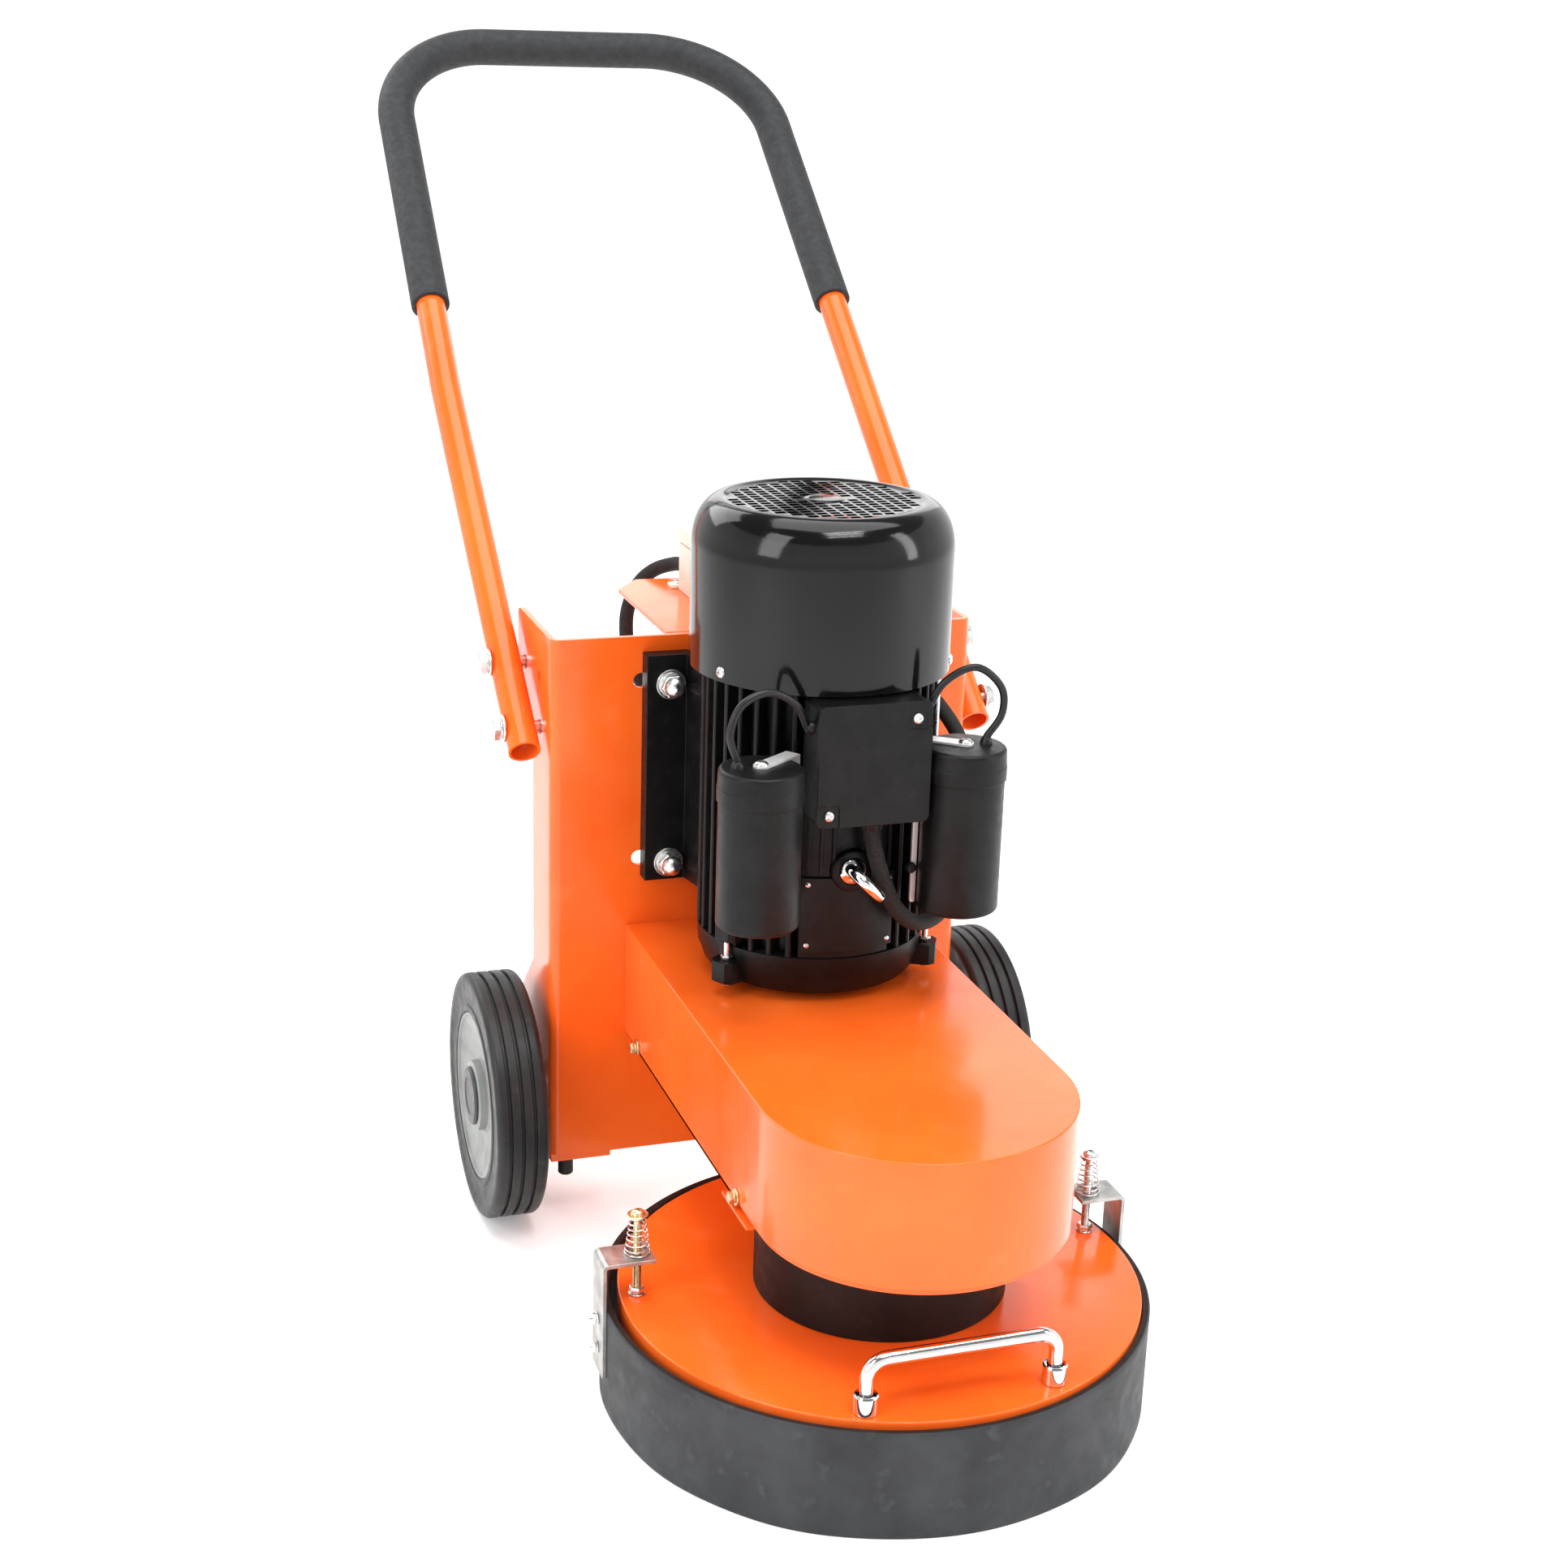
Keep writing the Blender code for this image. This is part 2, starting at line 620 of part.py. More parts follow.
def belt_loop(depth, steps=16):
    """The belt's outline at a depth below the pulleys' rims, as seen from above."""
    small = DRIVE_PULLEY_RADIUS - depth
    large = DRIVEN_PULLEY_RADIUS - depth
    reach = sqrt(MOTOR_X ** 2 + MOTOR_Y ** 2)
    lean = atan2(MOTOR_Y, MOTOR_X) * 180 / pi
    wrap = atan2(large - small, sqrt(reach ** 2 - (large - small) ** 2)) * 180 / pi
    front = arc((0, 0), large, lean + 90 - wrap, lean + 270 + wrap, steps)
    back = arc((MOTOR_X, MOTOR_Y), small, lean - 90 + wrap, lean + 90 - wrap, steps // 2)
    return front + back


def v_belt():
    """A belt of trapezoid section, wide at its outer side."""
    bm = bmesh.new()
    layers = ((0.0005, 0.0062), (0.0005, -0.0062), (0.0085, -0.0036), (0.0085, 0.0036))
    loops = [[bm.verts.new((x, y, height)) for x, y in belt_loop(depth)] for depth, height in layers]
    for first, second in zip(loops, loops[1:] + loops[:1]):
        skin(bm, first, second)
    add_object("v_belt", bm, black_rubber(), (0, 0, BELT_Z))


# ---- head ------------------------------------------------------------------------------------------

def hub_housing():
    """Round bearing housing between the guard's floor and the deck, open below between boss and wall."""
    low = DECK_TOP + GAP
    high = FLOOR_BOTTOM - GAP
    bore, boss, wall = 0.0264, 0.036, HUB_RADIUS - 0.004
    profile = [(bore, low), (boss, low), (boss, high - 0.008), (wall, high - 0.008), (wall, low),
               (HUB_RADIUS, low), (HUB_RADIUS, high), (bore, high)]
    add_object("hub_housing", turned(profile, 56), black_paint())


def spindle():
    flange = 0.0456
    profile = [(0, 0.0225), (SPINDLE_RADIUS, 0.0225), (SPINDLE_RADIUS, flange), (0.028, flange),
               (0.028, flange + 0.006), (SPINDLE_RADIUS, flange + 0.006), (SPINDLE_RADIUS, 0.224), (0, 0.224)]
    add_object("spindle", turned(profile, 24), bright_steel())
    for name, low in (("spindle_bearing_lower", 0.092), ("spindle_bearing_upper", 0.138)):
        inner, outer = SPINDLE_RADIUS + 0.0009, 0.026
        ring = [(inner, low), (outer, low), (outer, low + 0.015), (inner, low + 0.015)]
        add_object(name, turned(ring, 32), bright_steel())


def disc_and_pad():
    low = PAD_THICKNESS + GAP
    bore = SPINDLE_RADIUS + GAP
    profile = [(bore, low), (0.166, low), (0.166, low + 0.008), (0.032, low + 0.008), (0.030, 0.0453),
               (bore, 0.0453)]
    add_object("drive_plate", turned(profile, 56), cast_iron())
    pad = [(0, 0), (PAD_RADIUS - 0.002, 0), (PAD_RADIUS, 0.003), (PAD_RADIUS, PAD_THICKNESS), (0, PAD_THICKNESS)]
    add_object("work_pad", turned(pad, 56), pad_abrasive())


def deck():
    """Round deck: a flat sheet with its rim turned down."""
    under = DECK_TOP - DECK_SHEET
    inner = DECK_RADIUS - 0.004
    profile = [(0.0302, under), (inner, under), (inner, DECK_RIM_BOTTOM), (DECK_RADIUS, DECK_RIM_BOTTOM),
               (DECK_RADIUS, DECK_TOP - 0.001), (DECK_RADIUS - 0.001, DECK_TOP), (0.0302, DECK_TOP)]
    thing = add_object("deck", turned(profile, 72), orange_paint())
    holes = [prism(circle((side * SPRING_BOLT_X, SPRING_BOLT_Y), 0.0034, 12), under - 0.01, DECK_TOP + 0.01)
             for side in (-1, 1)]
    cut(thing, joined(*holes))


def carry_handle():
    """Chrome bow handle with a collar at each foot."""
    half = CARRY_HANDLE_SPAN / 2
    foot, bend = DECK_TOP + GAP, 0.014
    bar = DECK_TOP + CARRY_HANDLE_HEIGHT
    flat = [(-half, foot)] + arc((-half + bend, bar - bend), bend, 180, 90, 5)
    flat += arc((half - bend, bar - bend), bend, 90, 0, 5) + [(half, foot)]
    place = (CARRY_HANDLE_X, CARRY_HANDLE_Y, 0)
    thing = add_object("carry_handle", ring_mesh([(x, 0, z) for x, z in flat], 0.005, 0, 8), bright_steel(), place)
    collar = [(0, foot), (0.0085, foot), (0.0085, foot + 0.013), (0.008, foot + 0.014), (0, foot + 0.014)]
    join(thing, joined(*[moved(turned(collar, 24), (side * half, 0, 0)) for side in (-1, 1)]))


def skirt():
    """Rubber ring that hangs round the deck, with a zinc angle at each side."""
    inner = SKIRT_RADIUS - SKIRT_WALL
    profile = [(inner, 0), (SKIRT_RADIUS, 0), (SKIRT_RADIUS, SKIRT_HEIGHT), (inner, SKIRT_HEIGHT)]
    add_object("skirt_ring", turned(profile, 72), black_rubber(), (*SKIRT_CENTRE, 0))
    tab = DECK_TOP + TAB_HEIGHT
    sheet, reach = 0.003, 0.164
    for side, name in ((-1, "left"), (1, "right")):
        face = BRACKET_FACE[name]
        angle = [(face, 0.027), (face + sheet, 0.027), (face + sheet, tab + sheet), (reach, tab + sheet), (reach, tab),
                 (face, tab)]
        outline = [(side * x, z) for x, z in angle]
        bracket = prism(outline, SPRING_BOLT_Y - 0.014, SPRING_BOLT_Y + 0.014, "Y")
        thing = add_object("skirt_bracket_" + name, bracket, zinc(), smooth=False)
        centre = (side * SPRING_BOLT_X, SPRING_BOLT_Y)
        cut(thing, prism(circle(centre, 0.0042, 16), tab - 0.01, tab + 0.01))


def spring_bolts():
    """Long bolts up from the deck; each carries a spring between its head and the bracket's tab."""
    head = DECK_TOP + BOLT_HEAD
    shank = [(0, 0.071), (0.003, 0.071), (0.003, head), (0, head)]
    cap = [(0, head - 0.0005), (0.0075, head - 0.0005), (0.0075, head + 0.0012), (0.005, head + 0.0012),
           (0.005, head + 0.0045), (0.004, head + 0.0053), (0, head + 0.0053)]
    for side, name in ((-1, "left"), (1, "right")):
        thing = add_object("spring_bolt_" + name, turned(shank, 14), zinc(), (side * SPRING_BOLT_X, SPRING_BOLT_Y, 0))
        join(thing, turned(cap, 20))
        upper = (DECK_TOP + GAP, DECK_TOP + GAP + 0.005)
        lower = (DECK_TOP - DECK_SHEET - GAP - 0.005, DECK_TOP - DECK_SHEET - GAP)
        join(thing, joined(*[prism(hexagon((0, 0), 0.005), *ends) for ends in (upper, lower)]))


def skirt_springs():
    """Conical springs, wide at the tab and narrow at the bolt's head."""
    wire, turns, steps = 0.0007, 5, 8
    low = DECK_TOP + TAB_HEIGHT + 0.003 + GAP + wire
    high = DECK_TOP + BOLT_HEAD - 0.0005 - GAP - wire
    for side, name in ((-1, "left"), (1, "right")):
        path = []
        for k in range(turns * steps + 1):
            part = k / (turns * steps)
            radius = 0.0088 - 0.0032 * part
            turn = 2 * pi * k / steps
            path.append((radius * cos(turn), radius * sin(turn), low + (high - low) * part))
        place = (side * SPRING_BOLT_X, SPRING_BOLT_Y, 0)
        add_object("skirt_spring_" + name, ring_mesh(path, wire, 0, 4), zinc(), place)


# ---- motor -----------------------------------------------------------------------------------------

def fin_outline():
    """Ring of cooling fins seen from above, without fins in front behind the terminal box."""
    outline = []
    pitch = 360 / FIN_COUNT
    for k in range(FIN_COUNT):
        angle = k * pitch
        if abs(angle - 270) < 28:
            outline += arc((0, 0), FIN_TIP - 0.001, angle - pitch / 2, angle + pitch / 2, 2)[:-1]
            continue
        for radius, turn in ((FIN_ROOT, -0.30), (FIN_TIP, -0.16), (FIN_TIP, 0.16), (FIN_ROOT, 0.30)):
            a = radians(angle + turn * pitch)
            outline.append((radius * cos(a), radius * sin(a)))
    return outline


def motor_housing():
    body = prism(fin_outline(), HOUSING_BOTTOM, HOUSING_TOP)
    thing = add_object("motor_housing", body, satin_black(), MOTOR_AXIS)
    cut(thing, prism(circle((0, 0), 0.053, 32), HOUSING_BOTTOM - 0.01, HOUSING_TOP + 0.01))


def end_bells():
    bore = SHAFT_RADIUS + 0.0006
    high = HOUSING_BOTTOM - GAP
    lower = [(bore, BELL_BOTTOM), (0.074, BELL_BOTTOM), (0.081, BELL_BOTTOM + 0.005), (0.084, BELL_BOTTOM + 0.014),
             (0.085, high), (0.050, high), (0.044, high - 0.018), (bore, high - 0.018)]
    thing = add_object("end_bell_drive", turned(lower, 48), satin_black(), MOTOR_AXIS)
    for angle in (60, 120, 207.5, 332.5):
        ear = block((0.076, 0.0970), (-0.010, 0.010), (0.2665, 0.2805))
        bmesh.ops.rotate(ear, verts=ear.verts, cent=(0, 0, 0), matrix=Matrix.Rotation(radians(angle), 3, 'Z'))
        join(thing, ear)
    low = HOUSING_TOP + GAP
    upper = [(bore, low), (0.085, low), (0.085, low + 0.010), (0.030, low + 0.014), (bore, low + 0.014)]
    add_object("end_bell_fan", turned(upper, 40), satin_black(), MOTOR_AXIS)


def rotor():
    """Shaft with the rotor's core, and the fan at its top end."""
    core = (0.330, 0.470)
    profile = [(0, 0.192), (SHAFT_RADIUS, 0.192), (SHAFT_RADIUS, core[0]), (0.050, core[0]), (0.050, core[1]),
               (SHAFT_RADIUS, core[1]), (SHAFT_RADIUS, 0.518), (0.0095, 0.518), (0.0095, 0.562), (0, 0.562)]
    add_object("rotor", turned(profile, 32), bright_steel(), MOTOR_AXIS)
    low = 0.5185
    hub = [(0.0098, low), (0.078, low), (0.078, low + 0.003), (0.020, low + 0.003), (0.018, low + 0.034),
           (0.0098, low + 0.034)]
    thing = add_object("cooling_fan", turned(hub, 32), satin_black(), MOTOR_AXIS)
    blades = []
    for k in range(8):
        blade = block((0.017, 0.077), (-0.001, 0.001), (low + 0.001, low + 0.030))
        bmesh.ops.rotate(blade, verts=blade.verts, cent=(0, 0, 0), matrix=Matrix.Rotation(pi * k / 4, 3, 'Z'))
        blades.append(blade)
    join(thing, joined(*blades))


def shoulder(radius, top, steps=4):
    """Quarter of an ellipse from the cover's wall up to its flat top."""
    wide, tall = radius - GRILLE_RADIUS, top - COVER_SHOULDER
    points = []
    for k in range(steps + 1):
        turn = pi / 2 * k / steps
        points.append((GRILLE_RADIUS + wide * cos(turn), COVER_SHOULDER + tall * sin(turn)))
    return points


def fan_cover():
    sheet = 0.0015
    outer = [(COVER_RADIUS, COVER_BOTTOM)] + shoulder(COVER_RADIUS, COVER_TOP) + [(0, COVER_TOP)]
    inner = [(COVER_RADIUS - sheet, COVER_BOTTOM)] + shoulder(COVER_RADIUS - sheet, COVER_TOP - sheet)
    inner.append((0, COVER_TOP - sheet))
    thing = add_object("fan_cover", turned(outer + inner[::-1], 56), black_paint(), MOTOR_AXIS)
    pitch, half = 0.026, 0.0095
    windows = []
    for i in range(-2, 3):
        for j in range(-2, 3):
            far = sqrt((i * pitch) ** 2 + (j * pitch) ** 2)
            if 0.015 < far < 0.060:
                x, y = i * pitch, j * pitch
                windows.append(block((x - half, x + half), (y - half, y + half), (COVER_TOP - 0.01, COVER_TOP + 0.01)))
    cut(thing, joined(*windows))


def motor_feet():
    """Feet cast for a vertical plate: a flat pad each side and a web that meets the housing."""
    rear = PLATE_FRONT - GAP - MOTOR_Y
    front = rear - FOOT_THICKNESS
    shape = [(FOOT_HALF, front), (FOOT_HALF, rear), (0.046, rear), (0.038, 0.074), (0.038, 0.050), (0.064, 0.040),
             (0.067, 0.074), (0.072, front)]
    for side, name in ((-1, "left"), (1, "right")):
        pad = prism([(side * x, y) for x, y in shape], *FOOT_Z)
        thing = add_object("motor_foot_" + name, pad, satin_black(), MOTOR_AXIS)
        cut(thing, prism(circle((0, 0), FIN_TIP + 0.0014, 64), FOOT_Z[0] - 0.01, FOOT_Z[1] + 0.01))
        holes = [prism(circle((side * FOOT_BOLT_HALF, z), BOLT_RADIUS + 0.0008, 16), front - 0.01, rear + 0.01, "Y")
                 for z in FOOT_BOLT_Z]
        cut(thing, joined(*holes))


def foot_bolts():
    """Bolts from behind the plate, through slot and foot, each with washer and domed nut in front."""
    front = PLATE_FRONT - GAP - FOOT_THICKNESS - GAP
    rear = PLATE_FRONT + FRAME_SHEET + GAP
    thick = rear - front
    nut = 0.009
    shank = [(0, -0.002), (BOLT_RADIUS, -0.002), (BOLT_RADIUS, thick + 0.002), (0, thick + 0.002)]
    dome = [(0, -0.010), (0.0076, -0.010)]
    dome += [(0.0075 * cos(radians(t)), -0.0108 - 0.0085 * sin(radians(t))) for t in (30, 60)] + [(0, -0.0193)]
    for side, name in ((-1, "left"), (1, "right")):
        for number, z in enumerate(FOOT_BOLT_Z, 1):
            place = (MOTOR_X + side * FOOT_BOLT_HALF, front, z)
            thing = add_object(f"foot_bolt_{name}_{number}", turned(shank, 16, "Y"), zinc(), place)
            for a, b in ((-0.0018, 0.0), (thick, thick + 0.0018)):
                join(thing, turned([(0, a), (0.011, a), (0.011, b), (0, b)], 24, "Y"))
            join(thing, prism(hexagon((0, 0), HEX_HALF), -0.0018 - nut, -0.0009, "Y"))
            join(thing, prism(hexagon((0, 0), HEX_HALF), thick + 0.0009, thick + 0.0082, "Y"))
            join(thing, turned(dome, 20, "Y"))


def terminal_box():
    base = prism(rounded_rectangle(BOX_X, BOX_Z, 0.004, 3), BOX_Y[0], BOX_Y[1], "Y")
    thing = add_object("terminal_base", base, satin_black())
    cut(thing, prism(circle(MOTOR_AXIS[:2], FIN_TIP + 0.0010, 64), BOX_Z[0] - 0.01, BOX_Z[1] + 0.01))
    wall = 0.003
    room = prism(rounded_rectangle((BOX_X[0] + wall, BOX_X[1] - wall), (BOX_Z[0] + wall, BOX_Z[1] - wall), 0.002, 2),
                 BOX_Y[0] - 0.01, BOX_Y[0] + 0.018, "Y")
    cut(thing, room)
    lid = prism(rounded_rectangle((BOX_X[0] - 0.0008, BOX_X[1] + 0.0008), (BOX_Z[0] - 0.0008, BOX_Z[1] + 0.0008),
                                  0.004, 3), BOX_Y[0] - 0.0040, BOX_Y[0] - GAP, "Y")
    add_object("terminal_lid", lid, satin_black())


def capacitors():
    for name, (x, y, low, high) in CAPACITORS.items():
        body = CAPACITOR_RADIUS - 0.0012
        cap = high - 0.024
        profile = [(0, low), (body - 0.002, low), (body, low + 0.002), (body, cap), (CAPACITOR_RADIUS, cap),
                   (CAPACITOR_RADIUS, high - 0.003), (CAPACITOR_RADIUS - 0.003, high), (0, high)]
        add_object("capacitor_" + name, turned(profile, 36), satin_black(), (x, y, 0))
        end = STRIP_ENDS[name]
        along = Vector((end[0] - x, end[1] - y, 0))
        turn = Matrix.Rotation(atan2(along.y, along.x), 3, 'Z')
        strip = block((-0.006, along.length), (-0.006, 0.006), (high + GAP, high + GAP + 0.0016))
        bmesh.ops.rotate(strip, verts=strip.verts, cent=(0, 0, 0), matrix=turn)
        moved(strip, (x, y, 0))
        thing = add_object("capacitor_bracket_" + name, strip, zinc(), smooth=False)
        join(thing, prism(hexagon((x, y), 0.0045), high + GAP + 0.0008, high + 0.0055))


def capacitor_leads():
    left = [(BOX_X[0] - GAP, 0.0870, 0.4740), (-0.0380, 0.0870, 0.4740), (-0.0490, 0.0840, 0.4930),
            (-0.0700, 0.0800, 0.5035), (-0.0905, 0.0770, 0.4960), (-0.0985, 0.0755, 0.4760),
            (-0.0930, 0.0750, 0.4570), (-0.0930, 0.0750, 0.4523)]
    right = [(BOX_X[1] + GAP, 0.0950, 0.4740), (0.0525, 0.0950, 0.4740), (0.0645, 0.0910, 0.4990),
             (0.0870, 0.0865, 0.5110), (0.1065, 0.0845, 0.4960), (0.1080, 0.0835, 0.4760),
             (0.0970, 0.0835, 0.4595), (0.0970, 0.0835, 0.4548)]
    cable("capacitor_lead_left", left, 0.0028, black_rubber(), 3, 1)
    cable("capacitor_lead_right", right, 0.0028, black_rubber(), 3, 1)


def eye_bolt():
    """Lifting eye that points forward from the housing's front."""
    centre = 0.028
    bm = bmesh.new()
    steps, sides, big, small = 16, 6, 0.0140, 0.0042
    loops = []
    for k in range(steps):
        turn = 2 * pi * k / steps
        middle = Vector((big * cos(turn), big * sin(turn), 0))
        out = middle.normalized()
        loops.append([bm.verts.new(middle + out * small * cos(2 * pi * s / sides) +
                                   Vector((0, 0, small * sin(2 * pi * s / sides)))) for s in range(sides)])
    for first, second in zip(loops, loops[1:] + loops[:1]):
        skin(bm, first, second)
    bmesh.ops.translate(bm, verts=bm.verts, vec=(0, -centre, 0))
    bmesh.ops.rotate(bm, verts=bm.verts, cent=(0, 0, 0), matrix=Matrix.Rotation(radians(45), 3, 'Y'))
    face = MOTOR_Y - FIN_TIP - GAP
    thing = add_object("eye_bolt", bm, bright_steel(), (MOTOR_X, face, 0.361))
    collar = [(0, 0), (0.0100, 0), (0.0100, 0.004), (0.0050, 0.007), (0.0045, 0.013), (0, 0.013)]
    join(thing, turned([(radius, -height) for radius, height in collar], 20, "Y"))


def motor_lead():
    """Lead from the switch box, down behind the plate, through its hole and round the motor to the terminal box."""
    x, z = GLAND
    hole_x, hole_z = LEAD_HOLE
    face = SWITCH_Y[1] + 0.018 + GAP
    route = [(x, face, z), (x, face + 0.006, z), (x - 0.005, 0.482, z - 0.001), (-0.036, 0.497, 0.4930),
             (-0.050, 0.500, 0.478), (-0.060, 0.494, 0.452), (-0.060, 0.474, 0.420), (-0.045, 0.440, 0.390),
             (-0.012, 0.400, 0.372), (0.035, 0.368, 0.372), (0.080, 0.348, 0.390), (0.116, 0.330, 0.416),
             (0.132, 0.312, 0.430), (hole_x, PLATE_FRONT + 0.002, hole_z), (0.140, 0.274, 0.425),
             (0.148, 0.250, 0.405), (0.148, 0.222, 0.375), (0.134, 0.184, 0.345), (0.108, 0.146, 0.324),
             (0.078, 0.112, 0.314), (0.052, 0.092, 0.318), (0.034, 0.085, 0.333), (0.0225, 0.084, 0.356),
             (0.0145, 0.085, 0.382), (0.0120, 0.086, BOX_Z[0] - 0.008), (0.0120, 0.086, BOX_Z[0] - GAP)]
    cable("motor_lead", route, LEAD_RADIUS, black_rubber(), 2, 1)


def main():
    clear_scene()
    frame_channel()
    frame_feet()
    axle()
    wheels()
    switch_shelf()
    switch_box()
    buttons()
    handle_tube()
    foam_grip()
    handle_bolts()
    belt_guard()
    guard_floor()
    pulleys()
    v_belt()
    hub_housing()
    spindle()
    disc_and_pad()
    deck()
    carry_handle()
    skirt()
    spring_bolts()
    skirt_springs()
    motor_housing()
    end_bells()
    rotor()
    fan_cover()
    motor_feet()
    foot_bolts()
    terminal_box()
    capacitors()
    capacitor_leads()
    eye_bolt()
    motor_lead()


main()
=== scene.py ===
from math import atan2, cos, hypot, pi, radians, sin

import bmesh
import bpy
from mathutils import Matrix, Vector, noise


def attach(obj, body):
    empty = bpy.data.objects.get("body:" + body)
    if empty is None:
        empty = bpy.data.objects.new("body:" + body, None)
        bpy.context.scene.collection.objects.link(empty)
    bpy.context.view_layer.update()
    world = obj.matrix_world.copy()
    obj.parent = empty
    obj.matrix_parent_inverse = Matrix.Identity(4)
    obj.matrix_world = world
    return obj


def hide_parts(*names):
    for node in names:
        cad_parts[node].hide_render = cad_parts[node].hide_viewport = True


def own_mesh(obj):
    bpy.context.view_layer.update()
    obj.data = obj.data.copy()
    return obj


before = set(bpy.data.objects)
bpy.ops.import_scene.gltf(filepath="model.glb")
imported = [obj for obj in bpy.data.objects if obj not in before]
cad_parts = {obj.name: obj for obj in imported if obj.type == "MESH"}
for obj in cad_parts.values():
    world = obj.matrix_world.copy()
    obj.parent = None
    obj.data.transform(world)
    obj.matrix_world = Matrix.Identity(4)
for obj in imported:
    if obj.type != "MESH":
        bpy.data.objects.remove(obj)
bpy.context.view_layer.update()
scene = bpy.context.scene
print("frame loaded:", len(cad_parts), "nodes")
sides = ((-1, "left"), (1, "right"))   # seen from the front

# finishes: colours are linear, patch and grain are noise sizes per metre

